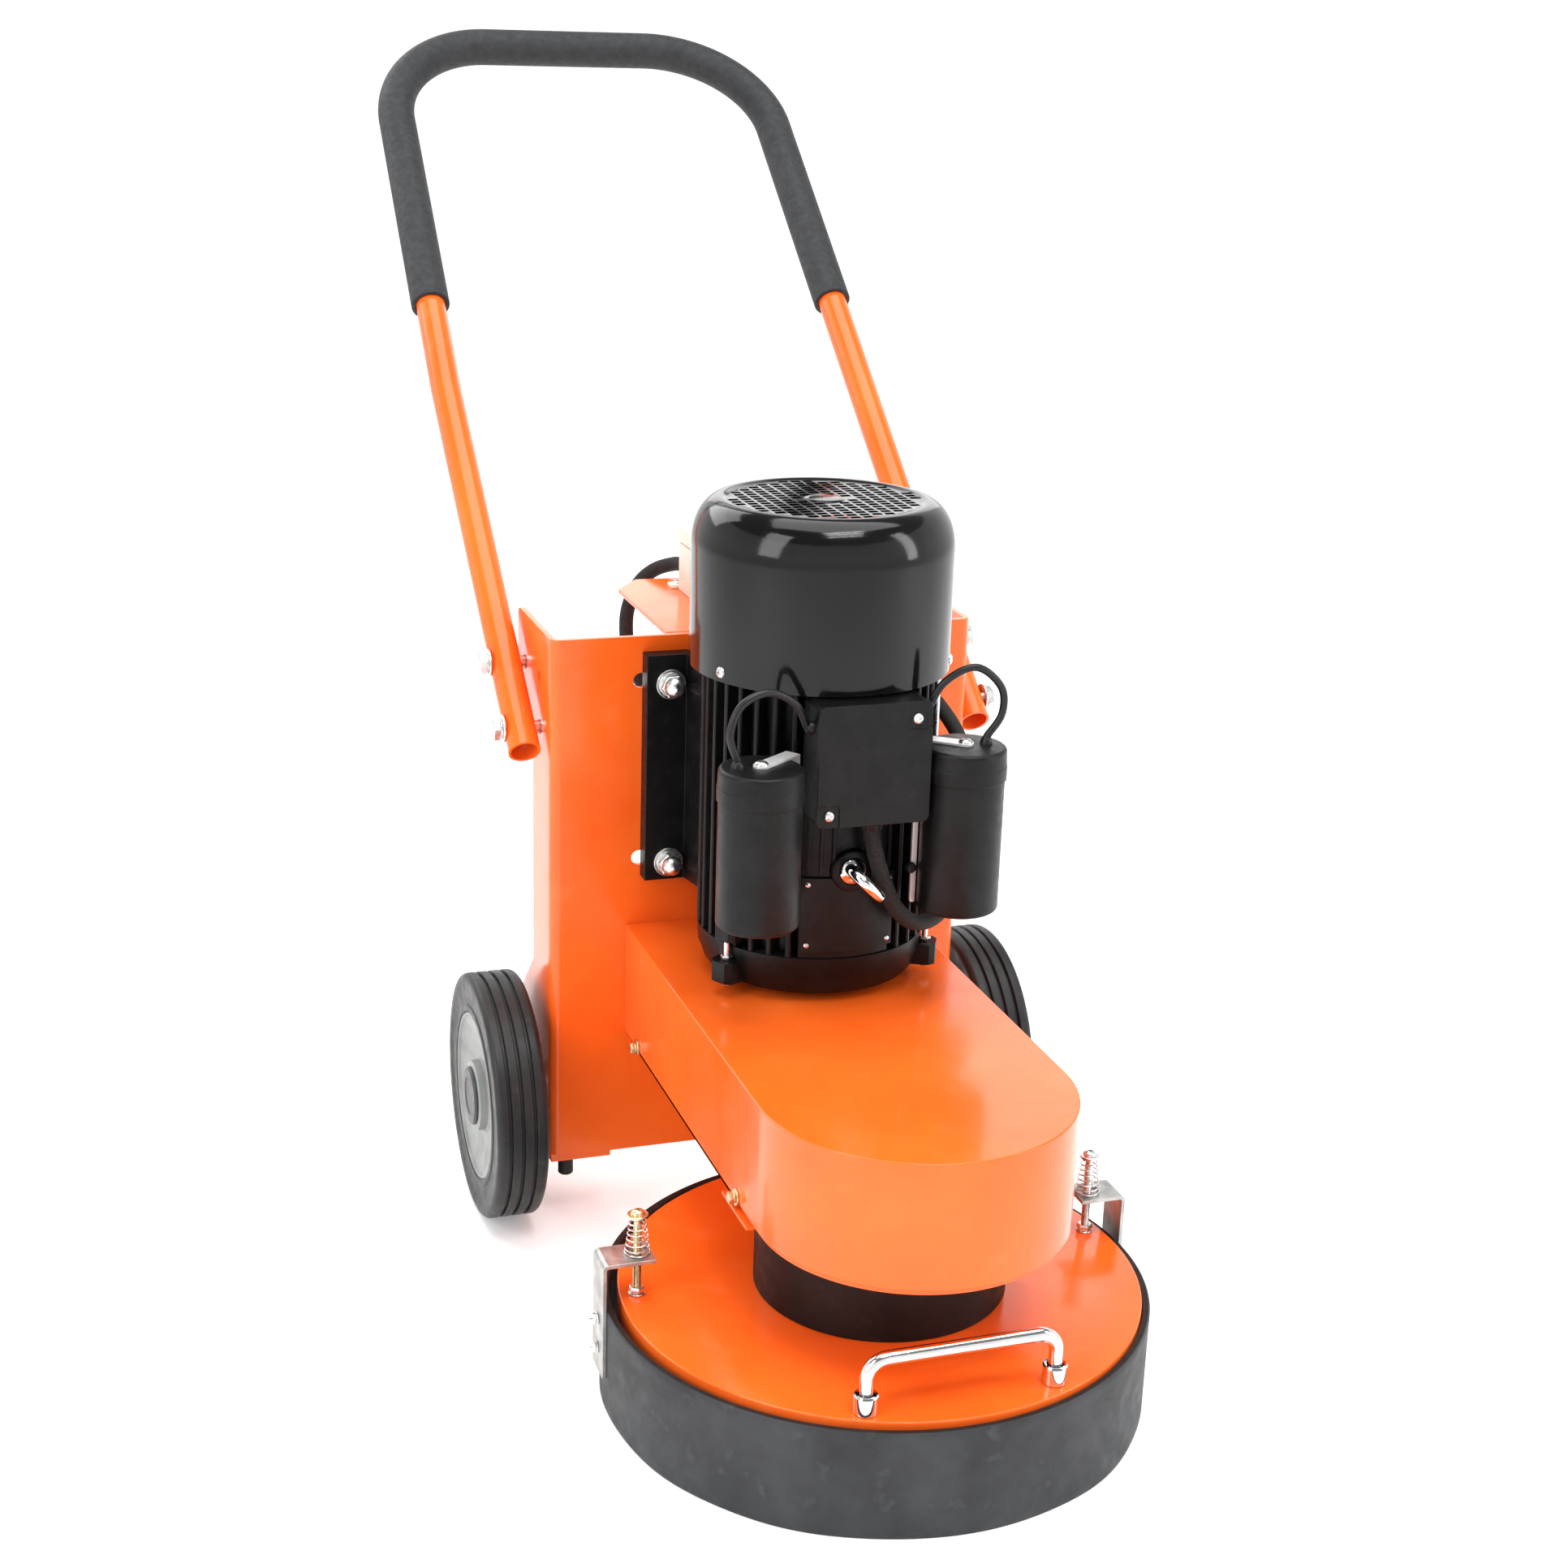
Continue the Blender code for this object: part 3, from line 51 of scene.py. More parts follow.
finishes = {
    "orangeEnamel": dict(slot="orange_paint", deep=(0.88, 0.112, 0.01), light=(0.96, 0.148, 0.017),
        patch=9, rough=(0.13, 0.24), grain=420, bump=0.0001, coat=0.1, dust=(0.86, 0.33, 0.14),
        dustAmount=0.1, shine=0.34),
    "glossBlack": dict(slot="black_paint", deep=(0.0022, 0.0022, 0.0025),
        light=(0.0042, 0.0042, 0.0046), patch=16, rough=(0.07, 0.14), grain=500, bump=0.00007,
        coat=0.05, dust=(0.04, 0.04, 0.04), dustAmount=0.06, shine=0.3),
    "satinBlack": dict(slot="satin_black", deep=(0.0018, 0.0018, 0.0021),
        light=(0.0048, 0.0048, 0.0052), patch=45, rough=(0.34, 0.48), grain=1300, bump=0.00022,
        coat=0.04, dust=(0.07, 0.065, 0.06), dustAmount=0.08, shine=0.18),
    # the reddish tint of the drum's deep, light and dust colours is a painted reflection of the orange deck
    # and guard floor around it; the spots themselves stand for dust
    "drumBlackReflectedOrange": dict(slot="black_paint", deep=(0.005, 0.003, 0.0026), light=(0.012, 0.0075, 0.0062),
        patch=30, rough=(0.42, 0.6), grain=900, bump=0.00014, dust=(0.1, 0.05, 0.03), dustAmount=0.14,
        shine=0.22),
    "mouldedBlack": dict(slot="satin_black", deep=(0.0035, 0.0034, 0.0036),
        light=(0.0075, 0.0072, 0.0075), patch=60, rough=(0.32, 0.45), grain=2600, bump=0.0001,
        dust=(0.1, 0.1, 0.1), dustAmount=0.05, shine=0.2),
    "zincPlate": dict(slot="zinc", deep=(0.56, 0.56, 0.55), light=(0.82, 0.82, 0.81), patch=140,
        rough=(0.22, 0.38), metallic=1.0, grain=2400, bump=0.00005, dust=(0.44, 0.42, 0.37),
        dustAmount=0.05),
    "brightStrip": dict(slot="zinc", deep=(0.74, 0.74, 0.73), light=(0.9, 0.9, 0.89), patch=90,
        rough=(0.34, 0.46), metallic=0.55, grain=2400, bump=0.00005, dust=(0.6, 0.58, 0.52),
        dustAmount=0.1),
    "yellowZinc": dict(slot="zinc", deep=(0.58, 0.45, 0.22), light=(0.84, 0.74, 0.5), patch=260,
        rough=(0.24, 0.38), metallic=1.0, grain=2400, bump=0.00005, dust=(0.55, 0.36, 0.3),
        dustAmount=0.22),
    "bracketSteel": dict(slot="zinc", deep=(0.32, 0.32, 0.31), light=(0.52, 0.52, 0.5), patch=70,
        rough=(0.34, 0.48), metallic=1.0, grain=1800, bump=0.00008, dust=(0.24, 0.21, 0.17),
        dustAmount=0.1),
    "turnedSteel": dict(slot="bright_steel", deep=(0.48, 0.48, 0.49), light=(0.66, 0.66, 0.67),
        patch=90, rough=(0.22, 0.34), metallic=1.0, grain=1600, bump=0.00006, dust=(0.3, 0.28, 0.25),
        dustAmount=0.12),
    "chromeBar": dict(slot="chrome", deep=(0.74, 0.74, 0.75), light=(0.86, 0.86, 0.87), patch=60,
        rough=(0.05, 0.1), metallic=1.0, grain=900, bump=0.00003, dust=(0.5, 0.45, 0.4),
        dustAmount=0.04),
    "castPulley": dict(slot="cast_iron", deep=(0.13, 0.13, 0.135), light=(0.24, 0.24, 0.245), patch=120,
        rough=(0.4, 0.6), metallic=0.8, grain=1500, bump=0.00025, dust=(0.1, 0.08, 0.06),
        dustAmount=0.2),
    "skirtRubber": dict(slot="black_rubber", deep=(0.016, 0.017, 0.019), light=(0.034, 0.036, 0.04),
        patch=22, rough=(0.46, 0.66), grain=1100, bump=0.0003, dust=(0.17, 0.17, 0.17), dustAmount=0.18,
        shine=0.35),
    "rimRubber": dict(slot="black_rubber", deep=(0.008, 0.005, 0.004), light=(0.018, 0.012, 0.009),
        patch=60, rough=(0.55, 0.8), grain=900, bump=0.0004, dust=(0.1, 0.07, 0.05), dustAmount=0.2,
        shine=0.25),
    "plainRubber": dict(slot="black_rubber", deep=(0.009, 0.009, 0.01), light=(0.018, 0.018, 0.019),
        patch=50, rough=(0.42, 0.6), grain=1500, bump=0.0002, dust=(0.12, 0.12, 0.12), dustAmount=0.1,
        shine=0.35),
    "leadSheath": dict(slot="cable_rubber", deep=(0.005, 0.005, 0.0056), light=(0.011, 0.011, 0.012),
        patch=60, rough=(0.3, 0.44), grain=1900, bump=0.00012, dust=(0.1, 0.1, 0.1), dustAmount=0.06,
        shine=0.35),
    "wovenSleeve": dict(slot="cable_rubber", deep=(0.006, 0.006, 0.006), light=(0.019, 0.017, 0.016),
        patch=500, rough=(0.6, 0.85), grain=1500, bump=0.0006, dust=(0.06, 0.05, 0.05), dustAmount=0.3,
        shine=0.3),
    "tyreRubber": dict(slot="tyre_rubber", deep=(0.0085, 0.0085, 0.009), light=(0.019, 0.02, 0.02),
        patch=30, rough=(0.36, 0.54), grain=1300, bump=0.00022, dust=(0.15, 0.15, 0.14),
        dustAmount=0.13, shine=0.32),
    "gripFoam": dict(slot="foam", deep=(0.011, 0.012, 0.013), light=(0.019, 0.0205, 0.023), patch=90,
        rough=(0.55, 0.75), grain=1700, bump=0.0005, dust=(0.11, 0.11, 0.11), dustAmount=0.06,
        shine=0.4),
    "hubGrey": dict(slot="wheel_grey", deep=(0.19, 0.2, 0.19), light=(0.27, 0.28, 0.27), patch=40,
        rough=(0.34, 0.48), grain=900, bump=0.0001, dust=(0.18, 0.17, 0.155), dustAmount=0.22),
    "capGrey": dict(slot="wheel_grey", deep=(0.03, 0.031, 0.033), light=(0.05, 0.051, 0.053), patch=60,
        rough=(0.36, 0.5), grain=1500, bump=0.0001, dust=(0.2, 0.2, 0.19), dustAmount=0.15),
    "creamShell": dict(slot="cream_plastic", deep=(0.66, 0.6, 0.5), light=(0.74, 0.685, 0.58), patch=30,
        rough=(0.32, 0.42), grain=1900, bump=0.00008, dust=(0.5, 0.44, 0.36), dustAmount=0.08),
    "greenCap": dict(slot="green_plastic", deep=(0.01, 0.2, 0.035), light=(0.015, 0.26, 0.05), patch=80,
        rough=(0.2, 0.3), grain=1500, bump=0.00005, dust=(0.2, 0.3, 0.2), dustAmount=0.04),
    "redCap": dict(slot="red_plastic", deep=(0.42, 0.012, 0.012), light=(0.52, 0.02, 0.018), patch=80,
        rough=(0.2, 0.3), grain=1500, bump=0.00005, dust=(0.4, 0.2, 0.2), dustAmount=0.04),
    "abrasivePad": dict(slot="pad_abrasive", deep=(0.05, 0.045, 0.04), light=(0.14, 0.13, 0.115),
        patch=300, rough=(0.7, 0.9), grain=1400, bump=0.0009, dust=(0.3, 0.29, 0.27), dustAmount=0.3),
}


def settings(node, values):
    for socket, value in values.items():
        node.inputs[socket].default_value = value


def noiseNode(tree, vector, size, detail):
    node = tree.nodes.new("ShaderNodeTexNoise")
    settings(node, {"Scale": size, "Detail": detail})
    tree.links.new(vector, node.inputs["Vector"])
    return node.outputs["Fac"]


def rampNode(tree, source, low, high, lowColour, highColour):
    node = tree.nodes.new("ShaderNodeValToRGB")
    for stop, place, colour in zip(node.color_ramp.elements, (low, high), (lowColour, highColour)):
        stop.position = place
        stop.color = (*colour, 1.0)
    tree.links.new(source, node.inputs["Fac"])
    return node.outputs["Color"]


def makeFinish(name, deep, light, patch, rough, grain, bump, dust, dustAmount, metallic=0.0, coat=0.0,
        shine=0.5):
    made = bpy.data.materials.new(name)
    made.use_nodes = True
    tree = made.node_tree
    shader = tree.nodes["Principled BSDF"]
    settings(shader, {"Metallic": metallic, "Coat Weight": coat, "Coat Roughness": 0.05,
                      "Specular IOR Level": shine})
    where = tree.nodes.new("ShaderNodeTexCoord").outputs["Object"]
    clouds = noiseNode(tree, where, patch, 5)
    scuffs = noiseNode(tree, where, patch * 2.3 + 11, 9)
    fine = noiseNode(tree, where, grain, 3)
    colour = rampNode(tree, clouds, 0.32, 0.68, deep, light)
    worn = rampNode(tree, scuffs, 0.6, 0.76, (0.0, 0.0, 0.0), (dustAmount,) * 3)   # only the noise's peaks
    mix = tree.nodes.new("ShaderNodeMix")
    mix.data_type = 'RGBA'
    tree.links.new(worn, mix.inputs[0])
    tree.links.new(colour, mix.inputs[6])
    mix.inputs[7].default_value = (*dust, 1.0)
    tree.links.new(mix.outputs[2], shader.inputs["Base Color"])
    sheen = tree.nodes.new("ShaderNodeMapRange")
    settings(sheen, {"From Min": 0.3, "From Max": 0.7, "To Min": rough[0], "To Max": rough[1]})
    tree.links.new(scuffs, sheen.inputs["Value"])
    tree.links.new(sheen.outputs["Result"], shader.inputs["Roughness"])
    relief = tree.nodes.new("ShaderNodeBump")
    settings(relief, {"Strength": 0.5, "Distance": bump})
    tree.links.new(fine, relief.inputs["Height"])
    tree.links.new(relief.outputs["Normal"], shader.inputs["Normal"])
    return made


slots = {name: look.pop("slot") for name, look in finishes.items()}
paints = {name: makeFinish(name, **look) for name, look in finishes.items()}
print("finishes:", len(paints))

# mesh helpers


def arc(centre, radius, start, end, steps):
    turns = [radians(start + (end - start) * k / steps) for k in range(steps + 1)]
    return [(centre[0] + radius * cos(t), centre[1] + radius * sin(t)) for t in turns]


def circle(centre, radius, steps=48):
    return arc(centre, radius, 0, 360 - 360 / steps, steps - 1)


def hexagon(centre, flat):
    return arc(centre, flat / cos(pi / 6), 30, 330, 5)


def roundedBox(x, y, radius, steps=8):
    outline = []
    for cx, cy, start in ((x[1] - radius, y[1] - radius, 0), (x[0] + radius, y[1] - radius, 90),
            (x[0] + radius, y[0] + radius, 180), (x[1] - radius, y[0] + radius, 270)):
        outline += arc((cx, cy), radius, start, start + 90, steps)
    return outline


def slotOutline(x, y, halfLength, halfWidth):
    return (arc((x + halfLength - halfWidth, y), halfWidth, -90, 90, 12)
        + arc((x - halfLength + halfWidth, y), halfWidth, 90, 270, 12))


def turned(profile, steps=96, axis="Z", at=(0, 0, 0), closed=True):
    # profile of (radius, height) swept round an axis
    bm = bmesh.new()
    rings = []
    for radius, height in profile:
        count = steps if radius > 1e-7 else 1
        turns = [2 * pi * k / steps for k in range(count)]
        rings.append([bm.verts.new((radius * cos(t), radius * sin(t), height)) for t in turns])
    for first, second in zip(rings, rings[1:] + (rings[:1] if closed else [])):
        if len(first) + len(second) == 2:
            continue
        for k in range(steps):
            corners = [first[k % len(first)], first[(k + 1) % len(first)], second[(k + 1) % len(second)],
                second[k % len(second)]]
            bm.faces.new(list(dict.fromkeys(corners)))
    turns = {"X": Matrix.Rotation(pi / 2, 3, 'Y'), "Y": Matrix.Rotation(-pi / 2, 3, 'X'),
        "Z": Matrix.Identity(3)}
    bmesh.ops.transform(bm, matrix=Matrix.Translation(at) @ turns[axis].to_4x4(), verts=bm.verts)
    return bm


def prism(outline, low, high, axis="Z"):
    # outline pushed from low to high along an axis
    bm = bmesh.new()
    order = {"Z": lambda a, b, h: (a, b, h), "X": lambda a, b, h: (h, a, b), "Y": lambda a, b,
        h: (a, h, b)}[axis]
    ends = [[bm.verts.new(order(a, b, h)) for a, b in outline] for h in (low, high)]
    bm.faces.new(ends[0])
    bm.faces.new(ends[1])
    skin(bm, *ends)
    return bm


def block(x, y, z):
    return prism([(x[0], y[0]), (x[1], y[0]), (x[1], y[1]), (x[0], y[1])], z[0], z[1])


def skin(bm, first, second):
    for k in range(len(first)):
        after = (k + 1) % len(first)
        bm.faces.new((first[k], first[after], second[after], second[k]))


def pipe(path, radius, sides=24, bore=0.0, closed=False):
    # round bar or tube along a path; radius may be a function of the part of the way
    bm = bmesh.new()
    points = [Vector(p) for p in path]
    count = len(points)
    walls = {"outer": [], "inner": []}
    side = None
    for i, point in enumerate(points):
        if closed:
            ahead = points[(i + 1) % count] - points[i - 1]
        else:
            ahead = points[min(i + 1, count - 1)] - points[max(i - 1, 0)]
        ahead.normalize()
        side = ahead.orthogonal() if side is None else side - ahead * side.dot(ahead)
        side.normalize()
        up = ahead.cross(side)
        for wall, size in (("outer", radius(i / (count - 1)) if callable(radius) else radius),
                ("inner", bore)):
            if size:
                turns = [2 * pi * k / sides for k in range(sides)]
                walls[wall].append([bm.verts.new(point + (side * cos(t) + up * sin(t)) * size)
                    for t in turns])
    for rings in walls.values():
        for first, second in zip(rings, rings[1:]):
            skin(bm, first, second)
    outer, inner = walls["outer"], walls["inner"]
    if closed:
        skin(bm, outer[-1], outer[0])
        return bm
    for end in (0, -1):
        if bore:
            skin(bm, outer[end], inner[end])
        else:
            bm.faces.new(outer[end])
    return bm


def smoothRoute(points, steps=6):
    # smooth curve through the given points
    route = [Vector(p) for p in points]
    route = [route[0] * 2 - route[1]] + route + [route[-1] * 2 - route[-2]]
    curve = []
    for a, b, c, d in zip(route, route[1:], route[2:], route[3:]):
        for k in range(steps):
            t = k / steps
            bend = (a * 2 - b * 5 + c * 4 - d) * t * t + (b * 3 - a - c * 3 + d) * t ** 3
            curve.append((b * 2 + (c - a) * t + bend) / 2)
    return curve + [route[-2]]


def merged(*parts):
    whole = bmesh.new()
    for part in parts:
        mesh = bpy.data.meshes.new("loose")
        bmesh.ops.recalc_face_normals(part, faces=part.faces)
        part.to_mesh(mesh)
        part.free()
        whole.from_mesh(mesh)
        bpy.data.meshes.remove(mesh)
    return whole


def looseObject(bm):
    bmesh.ops.recalc_face_normals(bm, faces=bm.faces)
    mesh = bpy.data.meshes.new("loose")
    bm.to_mesh(mesh)
    bm.free()
    thing = bpy.data.objects.new("loose", mesh)
    scene.collection.objects.link(thing)
    return thing


def carved(base, cuts=(), adds=()):
    # base with some shapes cut out of it and others welded on
    host = looseObject(base)
    tools = []
    for kind, group in (("UNION", adds), ("DIFFERENCE", cuts)):
        for part in group:
            tool = looseObject(part)
            step = host.modifiers.new(kind, "BOOLEAN")
            step.operation, step.object, step.solver = kind, tool, "EXACT"
            tools.append(tool)
    bpy.context.view_layer.update()
    done = host.evaluated_get(bpy.context.evaluated_depsgraph_get())
    result = bmesh.new()
    result.from_mesh(done.to_mesh())
    for thing in [host] + tools:
        mesh = thing.data
        bpy.data.objects.remove(thing)
        bpy.data.meshes.remove(mesh)
    return result


def standing(bm, at, direction=(0, 0, 1), spin=0.0):
    # turns a shape's +Z into a direction and sets it in place
    turn = Vector((0, 0, 1)).rotation_difference(Vector(direction)).to_matrix().to_4x4()
    bmesh.ops.transform(bm, matrix=Matrix.Translation(at) @ turn @ Matrix.Rotation(radians(spin), 4, 'Z'),
        verts=bm.verts)
    return bm


def piece(name, bm, paint, body="machine", stands=(), edge=0.0, edgeSteps=2, sharp=35):
    # makes the object, gives it its finish and sets it riding on its body
    bmesh.ops.recalc_face_normals(bm, faces=bm.faces)
    mesh = bpy.data.meshes.new(name)
    bm.to_mesh(mesh)
    bm.free()
    mesh.shade_smooth()
    mesh.set_sharp_from_angle(angle=radians(sharp))
    made = bpy.data.objects.new(name, mesh)
    scene.collection.objects.link(made)
    mesh.materials.append(paints[paint])
    if edge:
        rounding = made.modifiers.new("edges", "BEVEL")
        rounding.width, rounding.segments = edge, edgeSteps
        rounding.limit_method, rounding.angle_limit = 'ANGLE', radians(sharp)
        rounding.harden_normals = True
    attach(made, body)
    if stands:
        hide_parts(*stands)
    return made


# fasteners, each built upward from z = 0


def hexPart(flat, low, high, chamfer=0.0008):
    # hexagon with both rims eased, as a nut or bolt head has
    bm = bmesh.new()
    rings = [[bm.verts.new((x * size, y * size, height)) for x, y in hexagon((0, 0), flat)] for size,
        height in ((0.93, low), (1, low + chamfer), (1, high - chamfer), (0.9, high))]
    for first, second in zip(rings, rings[1:]):
        skin(bm, first, second)
    bm.faces.new(rings[0])
    bm.faces.new(rings[-1])
    return bm


def ringPart(inner, outer, low, high, steps=48):
    ease = min(0.0003, (high - low) / 3)
    return turned([(inner, low), (outer - ease, low), (outer, low + ease), (outer, high - ease),
        (outer - ease, high), (inner, high)], steps)


def hexBolt(flat, height, washer, shank=0.0, nut=None):
    # washer, spring washer and head above zero, shank below it, nut near the shank's end
    parts = [ringPart(flat * 0.55, washer, 0, 0.0016), ringPart(flat * 0.55, flat * 0.98, 0.0016, 0.003),
        hexPart(flat, 0.003, 0.003 + height), turned([(0, -shank), (flat * 0.56, -shank),
        (flat * 0.6, -shank + 0.001), (flat * 0.6, 0.0032), (0, 0.0032)], 32)]
    if nut:
        parts.append(hexPart(flat, -nut - 0.0065, -nut))
    return merged(*parts)


def panScrew(radius, height):
    # domed head with a cross recess
    dome = [(0, 0), (radius, 0)] + [(radius * cos(radians(t)), 0.15 * height
        + 0.85 * height * sin(radians(t))) for t in (0, 20, 40, 60, 78)] + [(0, height)]
    arm, half = radius * 0.55, radius * 0.11
    cross = [block((-arm, arm), (-half, half), (height * 0.45, height * 2)),
        block((-half, half), (-arm, arm), (height * 0.45, height * 2))]
    return carved(turned(dome, 32), cuts=cross)


def acornNut(flat, height, washer):
    # washer, flanged hexagon and dome
    hexTop = height * 0.52
    dome = [(0, hexTop - 0.0006)] + [(flat * 0.97 * cos(radians(t)), hexTop - 0.0006
        + (height - hexTop) * sin(radians(t))) for t in (0, 18, 36, 54, 72, 82)] + [(0, height)]
    return merged(ringPart(0.004, washer, 0, 0.0018), ringPart(0.004, flat * 1.18, 0.0018, 0.0034),
        hexPart(flat, 0.003, hexTop), turned(dome, 40))


# camera, lights and floor

view = dict(place=(-0.58614, -1.44769, 0.96241), yaw=19.11, pitch=-18.02, roll=1.84, lens=55.8)


def setCamera():
    yaw, pitch, roll = (radians(view[k]) for k in ("yaw", "pitch", "roll"))
    ahead = Vector((sin(yaw) * cos(pitch), cos(yaw) * cos(pitch), sin(pitch)))
    right = Vector((cos(yaw), -sin(yaw), 0))
    up = right.cross(ahead)
    across = right * cos(roll) + up * sin(roll)
    upward = up * cos(roll) - right * sin(roll)
    data = bpy.data.cameras.new("camera")
    data.lens, data.sensor_width = view["lens"], 36
    data.clip_start, data.clip_end = 0.05, 60
    camera = bpy.data.objects.new("camera", data)
    scene.collection.objects.link(camera)
    turn = Matrix((across, upward, -ahead)).transposed().to_4x4()
    camera.matrix_world = Matrix.Translation(view["place"]) @ turn
    scene.camera = camera


studio = dict(world=0.26, paper=0.93, paperGlow=0.22, floorRadius=5.0, bend=1.2, wallTop=4.5)
lamps = [  # place, target, size, power
    ((-2.6, -1.0, 1.9), (0, 0, 0.4), (1.1, 2.4), 46),
    ((2.6, -1.2, 1.6), (0, 0, 0.4), (0.6, 2.4), 32),
    ((0.2, 0.2, 3.2), (0, 0, 0), (2.8, 2.8), 96),
    ((-1.2, 2.6, 2.2), (0, 0.3, 0.3), (2.2, 1.6), 40),
    ((0.85, 2.7, 1.35), (0, 0.2, 0.6), (1.8, 1.0), 6),   # low behind, for the light in the grille bars
    ((0.2, -0.95, 2.9), (0, 0, 0.3), (1.3, 0.05), 9),   # three thin tubes for the cover's bright bars
    ((0.2, -1.25, 2.9), (0, 0, 0.3), (1.3, 0.05), 9),
    ((0.2, -1.6, 2.9), (0, 0, 0.3), (1.3, 0.05), 9),
]


def setLights():
    for number, (place, target, size, power) in enumerate(lamps):
        data = bpy.data.lights.new(f"softLight{number}", "AREA")
        data.shape, data.size, data.size_y, data.energy = 'RECTANGLE', size[0], size[1], power
        lamp = bpy.data.objects.new(f"softLight{number}", data)
        lamp.location = place
        lamp.rotation_euler = (Vector(target) - Vector(place)).to_track_quat("-Z", "Y").to_euler()
        scene.collection.objects.link(lamp)
    world = bpy.data.worlds.new("studio")
    world.use_nodes = True
    world.node_tree.nodes["Background"].inputs["Color"].default_value = (1, 1, 1, 1)
    world.node_tree.nodes["Background"].inputs["Strength"].default_value = studio["world"]
    scene.world = world
    scene.view_settings.view_transform = 'Standard'   # keeps the paint's orange as strong as it is


def setFloor():
    flat, bend = studio["floorRadius"], studio["bend"]
    bowl = [(0, 0), (flat, 0)] + [(flat + bend * sin(radians(t)), bend - bend * cos(radians(t)))
        for t in range(9, 91, 9)]
    bowl.append((flat + bend, studio["wallTop"]))
    bm = turned([(radius, height - 0.0002) for radius, height in bowl], 96, closed=False)
    mesh = bpy.data.meshes.new("studioFloor")
    bm.to_mesh(mesh)
    bm.free()
    mesh.shade_smooth()
    floor = bpy.data.objects.new("studioFloor", mesh)
    scene.collection.objects.link(floor)
    paper = bpy.data.materials.new("palePaper")
    paper.use_nodes = True
    shader = paper.node_tree.nodes["Principled BSDF"]
    # the glow keeps the backdrop near white
    settings(shader, {"Base Color": (*[studio["paper"]] * 3, 1), "Roughness": 0.9,
                      "Emission Color": (1, 1, 1, 1), "Emission Strength": studio["paperGlow"]})
    mesh.materials.append(paper)


setCamera()
setLights()
setFloor()
print("camera, lights and floor set")

# folded frame, its feet, axle and shelf

chassis = dict(front=0.2955, width=0.3448, top=0.4903, bottom=0.0572, sheet=0.0045, bend=0.008,
    earRear=0.4105, waistRear=0.3575, waistZ=(0.2076, 0.385), axle=(0.3376, 0.1),
    spareHole=(0.336, 0.4505))
loop = dict(half=0.1886, foot=(0.31565, 0.3975), lean=52.25, length=0.827, bend=0.11, leftSet=0.009,
    setStart=0.38, tube=0.0127, wall=0.002, foam=0.01675, foamStart=0.4808, bolts=(0.023, 0.087))
motorAxis = (0.003, 0.1834)
feet = dict(half=0.1036, thick=0.0142, z=(0.2956, 0.4783), boltX=0.0847, boltZ=(0.3102, 0.4552),
    slotX=0.0926)


def alongHandle(distance, x=0.0):
    lean = radians(loop["lean"])
    return (x, loop["foot"][0] + distance * sin(lean), loop["foot"][1] + distance * cos(lean))


def buildFrame():
    half, front, sheet, bend = chassis["width"] / 2, chassis["front"], chassis["sheet"], chassis["bend"]
    rear, inner = chassis["earRear"], chassis["bend"] - chassis["sheet"]
    left, right = (-half + bend, front + bend), (half - bend, front + bend)
    plan = [(-half, rear)] + arc(left, bend, 180, 270, 10) + arc(right, bend, 270, 360,
        10) + [(half, rear)]
    plan += [(half - sheet, rear)] + arc(right, inner, 360, 270, 8) + arc(left, inner, 270, 180, 8)
    plan.append((-half + sheet, rear))
    low, high = chassis["bottom"], chassis["top"]
    wide = (-half - 0.01, half + 0.01)
    beyond = rear + 0.02
    (waistLow, waistHigh), waistRear = chassis["waistZ"], chassis["waistRear"]
    waist = [(waistRear, waistLow), (beyond, waistLow - 0.071), (beyond, waistHigh + 0.0758),
        (waistRear, waistHigh)]
    corner = arc((rear - 0.008, high - 0.008), 0.008, 0, 90, 10) + [(rear - 0.008, high + 0.01),
        (beyond, high + 0.01), (beyond, high - 0.008)]
    drilled = [(chassis["axle"], 0.0112), (chassis["spareHole"], 0.0055)]
    drilled += [(alongHandle(d)[1:], 0.0058) for d in loop["bolts"]]
    cuts = [prism(waist, *wide, "X"), prism(corner, *wide, "X")]
    cuts.append(merged(*[prism(circle(at, radius, 32), *wide, "X") for at, radius in drilled]))
    depth = (front - 0.01, front + 0.02)
    holes = [prism(slotOutline(motorAxis[0] + side * feet["slotX"], z, 0.018, 0.006), *depth, "Y")
        for side in (-1, 1) for z in feet["boltZ"]]
    holes.append(prism(circle((0.135, 0.432), 0.0085, 32), *depth, "Y"))
    cuts.append(merged(*holes))
    plates = [block(sorted((side * (half - 0.0006), side * (half - 0.05))),
        (front + 0.0006, front + 0.06), (low - 0.0047, low + 0.0015)) for side in (-1, 1)]
    piece("frameChannel", carved(prism(plan, low, high), cuts, plates), "orangeEnamel",
        stands=["frame_channel"], edge=0.0007)
    for side, name in sides:
        top = low - 0.005
        peg = [(0, 0.0345), (0.005, 0.0345), (0.0062, 0.0357), (0.0062, top), (0, top)]
        piece("rubberFoot_" + name, turned(peg, 40, at=(side * 0.1565, 0.31, 0)), "plainRubber",
            stands=["frame_foot_" + name], edge=0.0004)
    piece("leadGrommet", turned([(0.0061, -0.003), (0.0105, -0.003), (0.0112, -0.0022), (0.0112, -0.0008),
        (0.0084, 0), (0.0084, 0.0045), (0.0112, 0.0053), (0.0112, 0.0068), (0.0105, 0.0076),
        (0.0061, 0.0076)], 40, "Y", (0.135, front, 0.432)), "plainRubber")


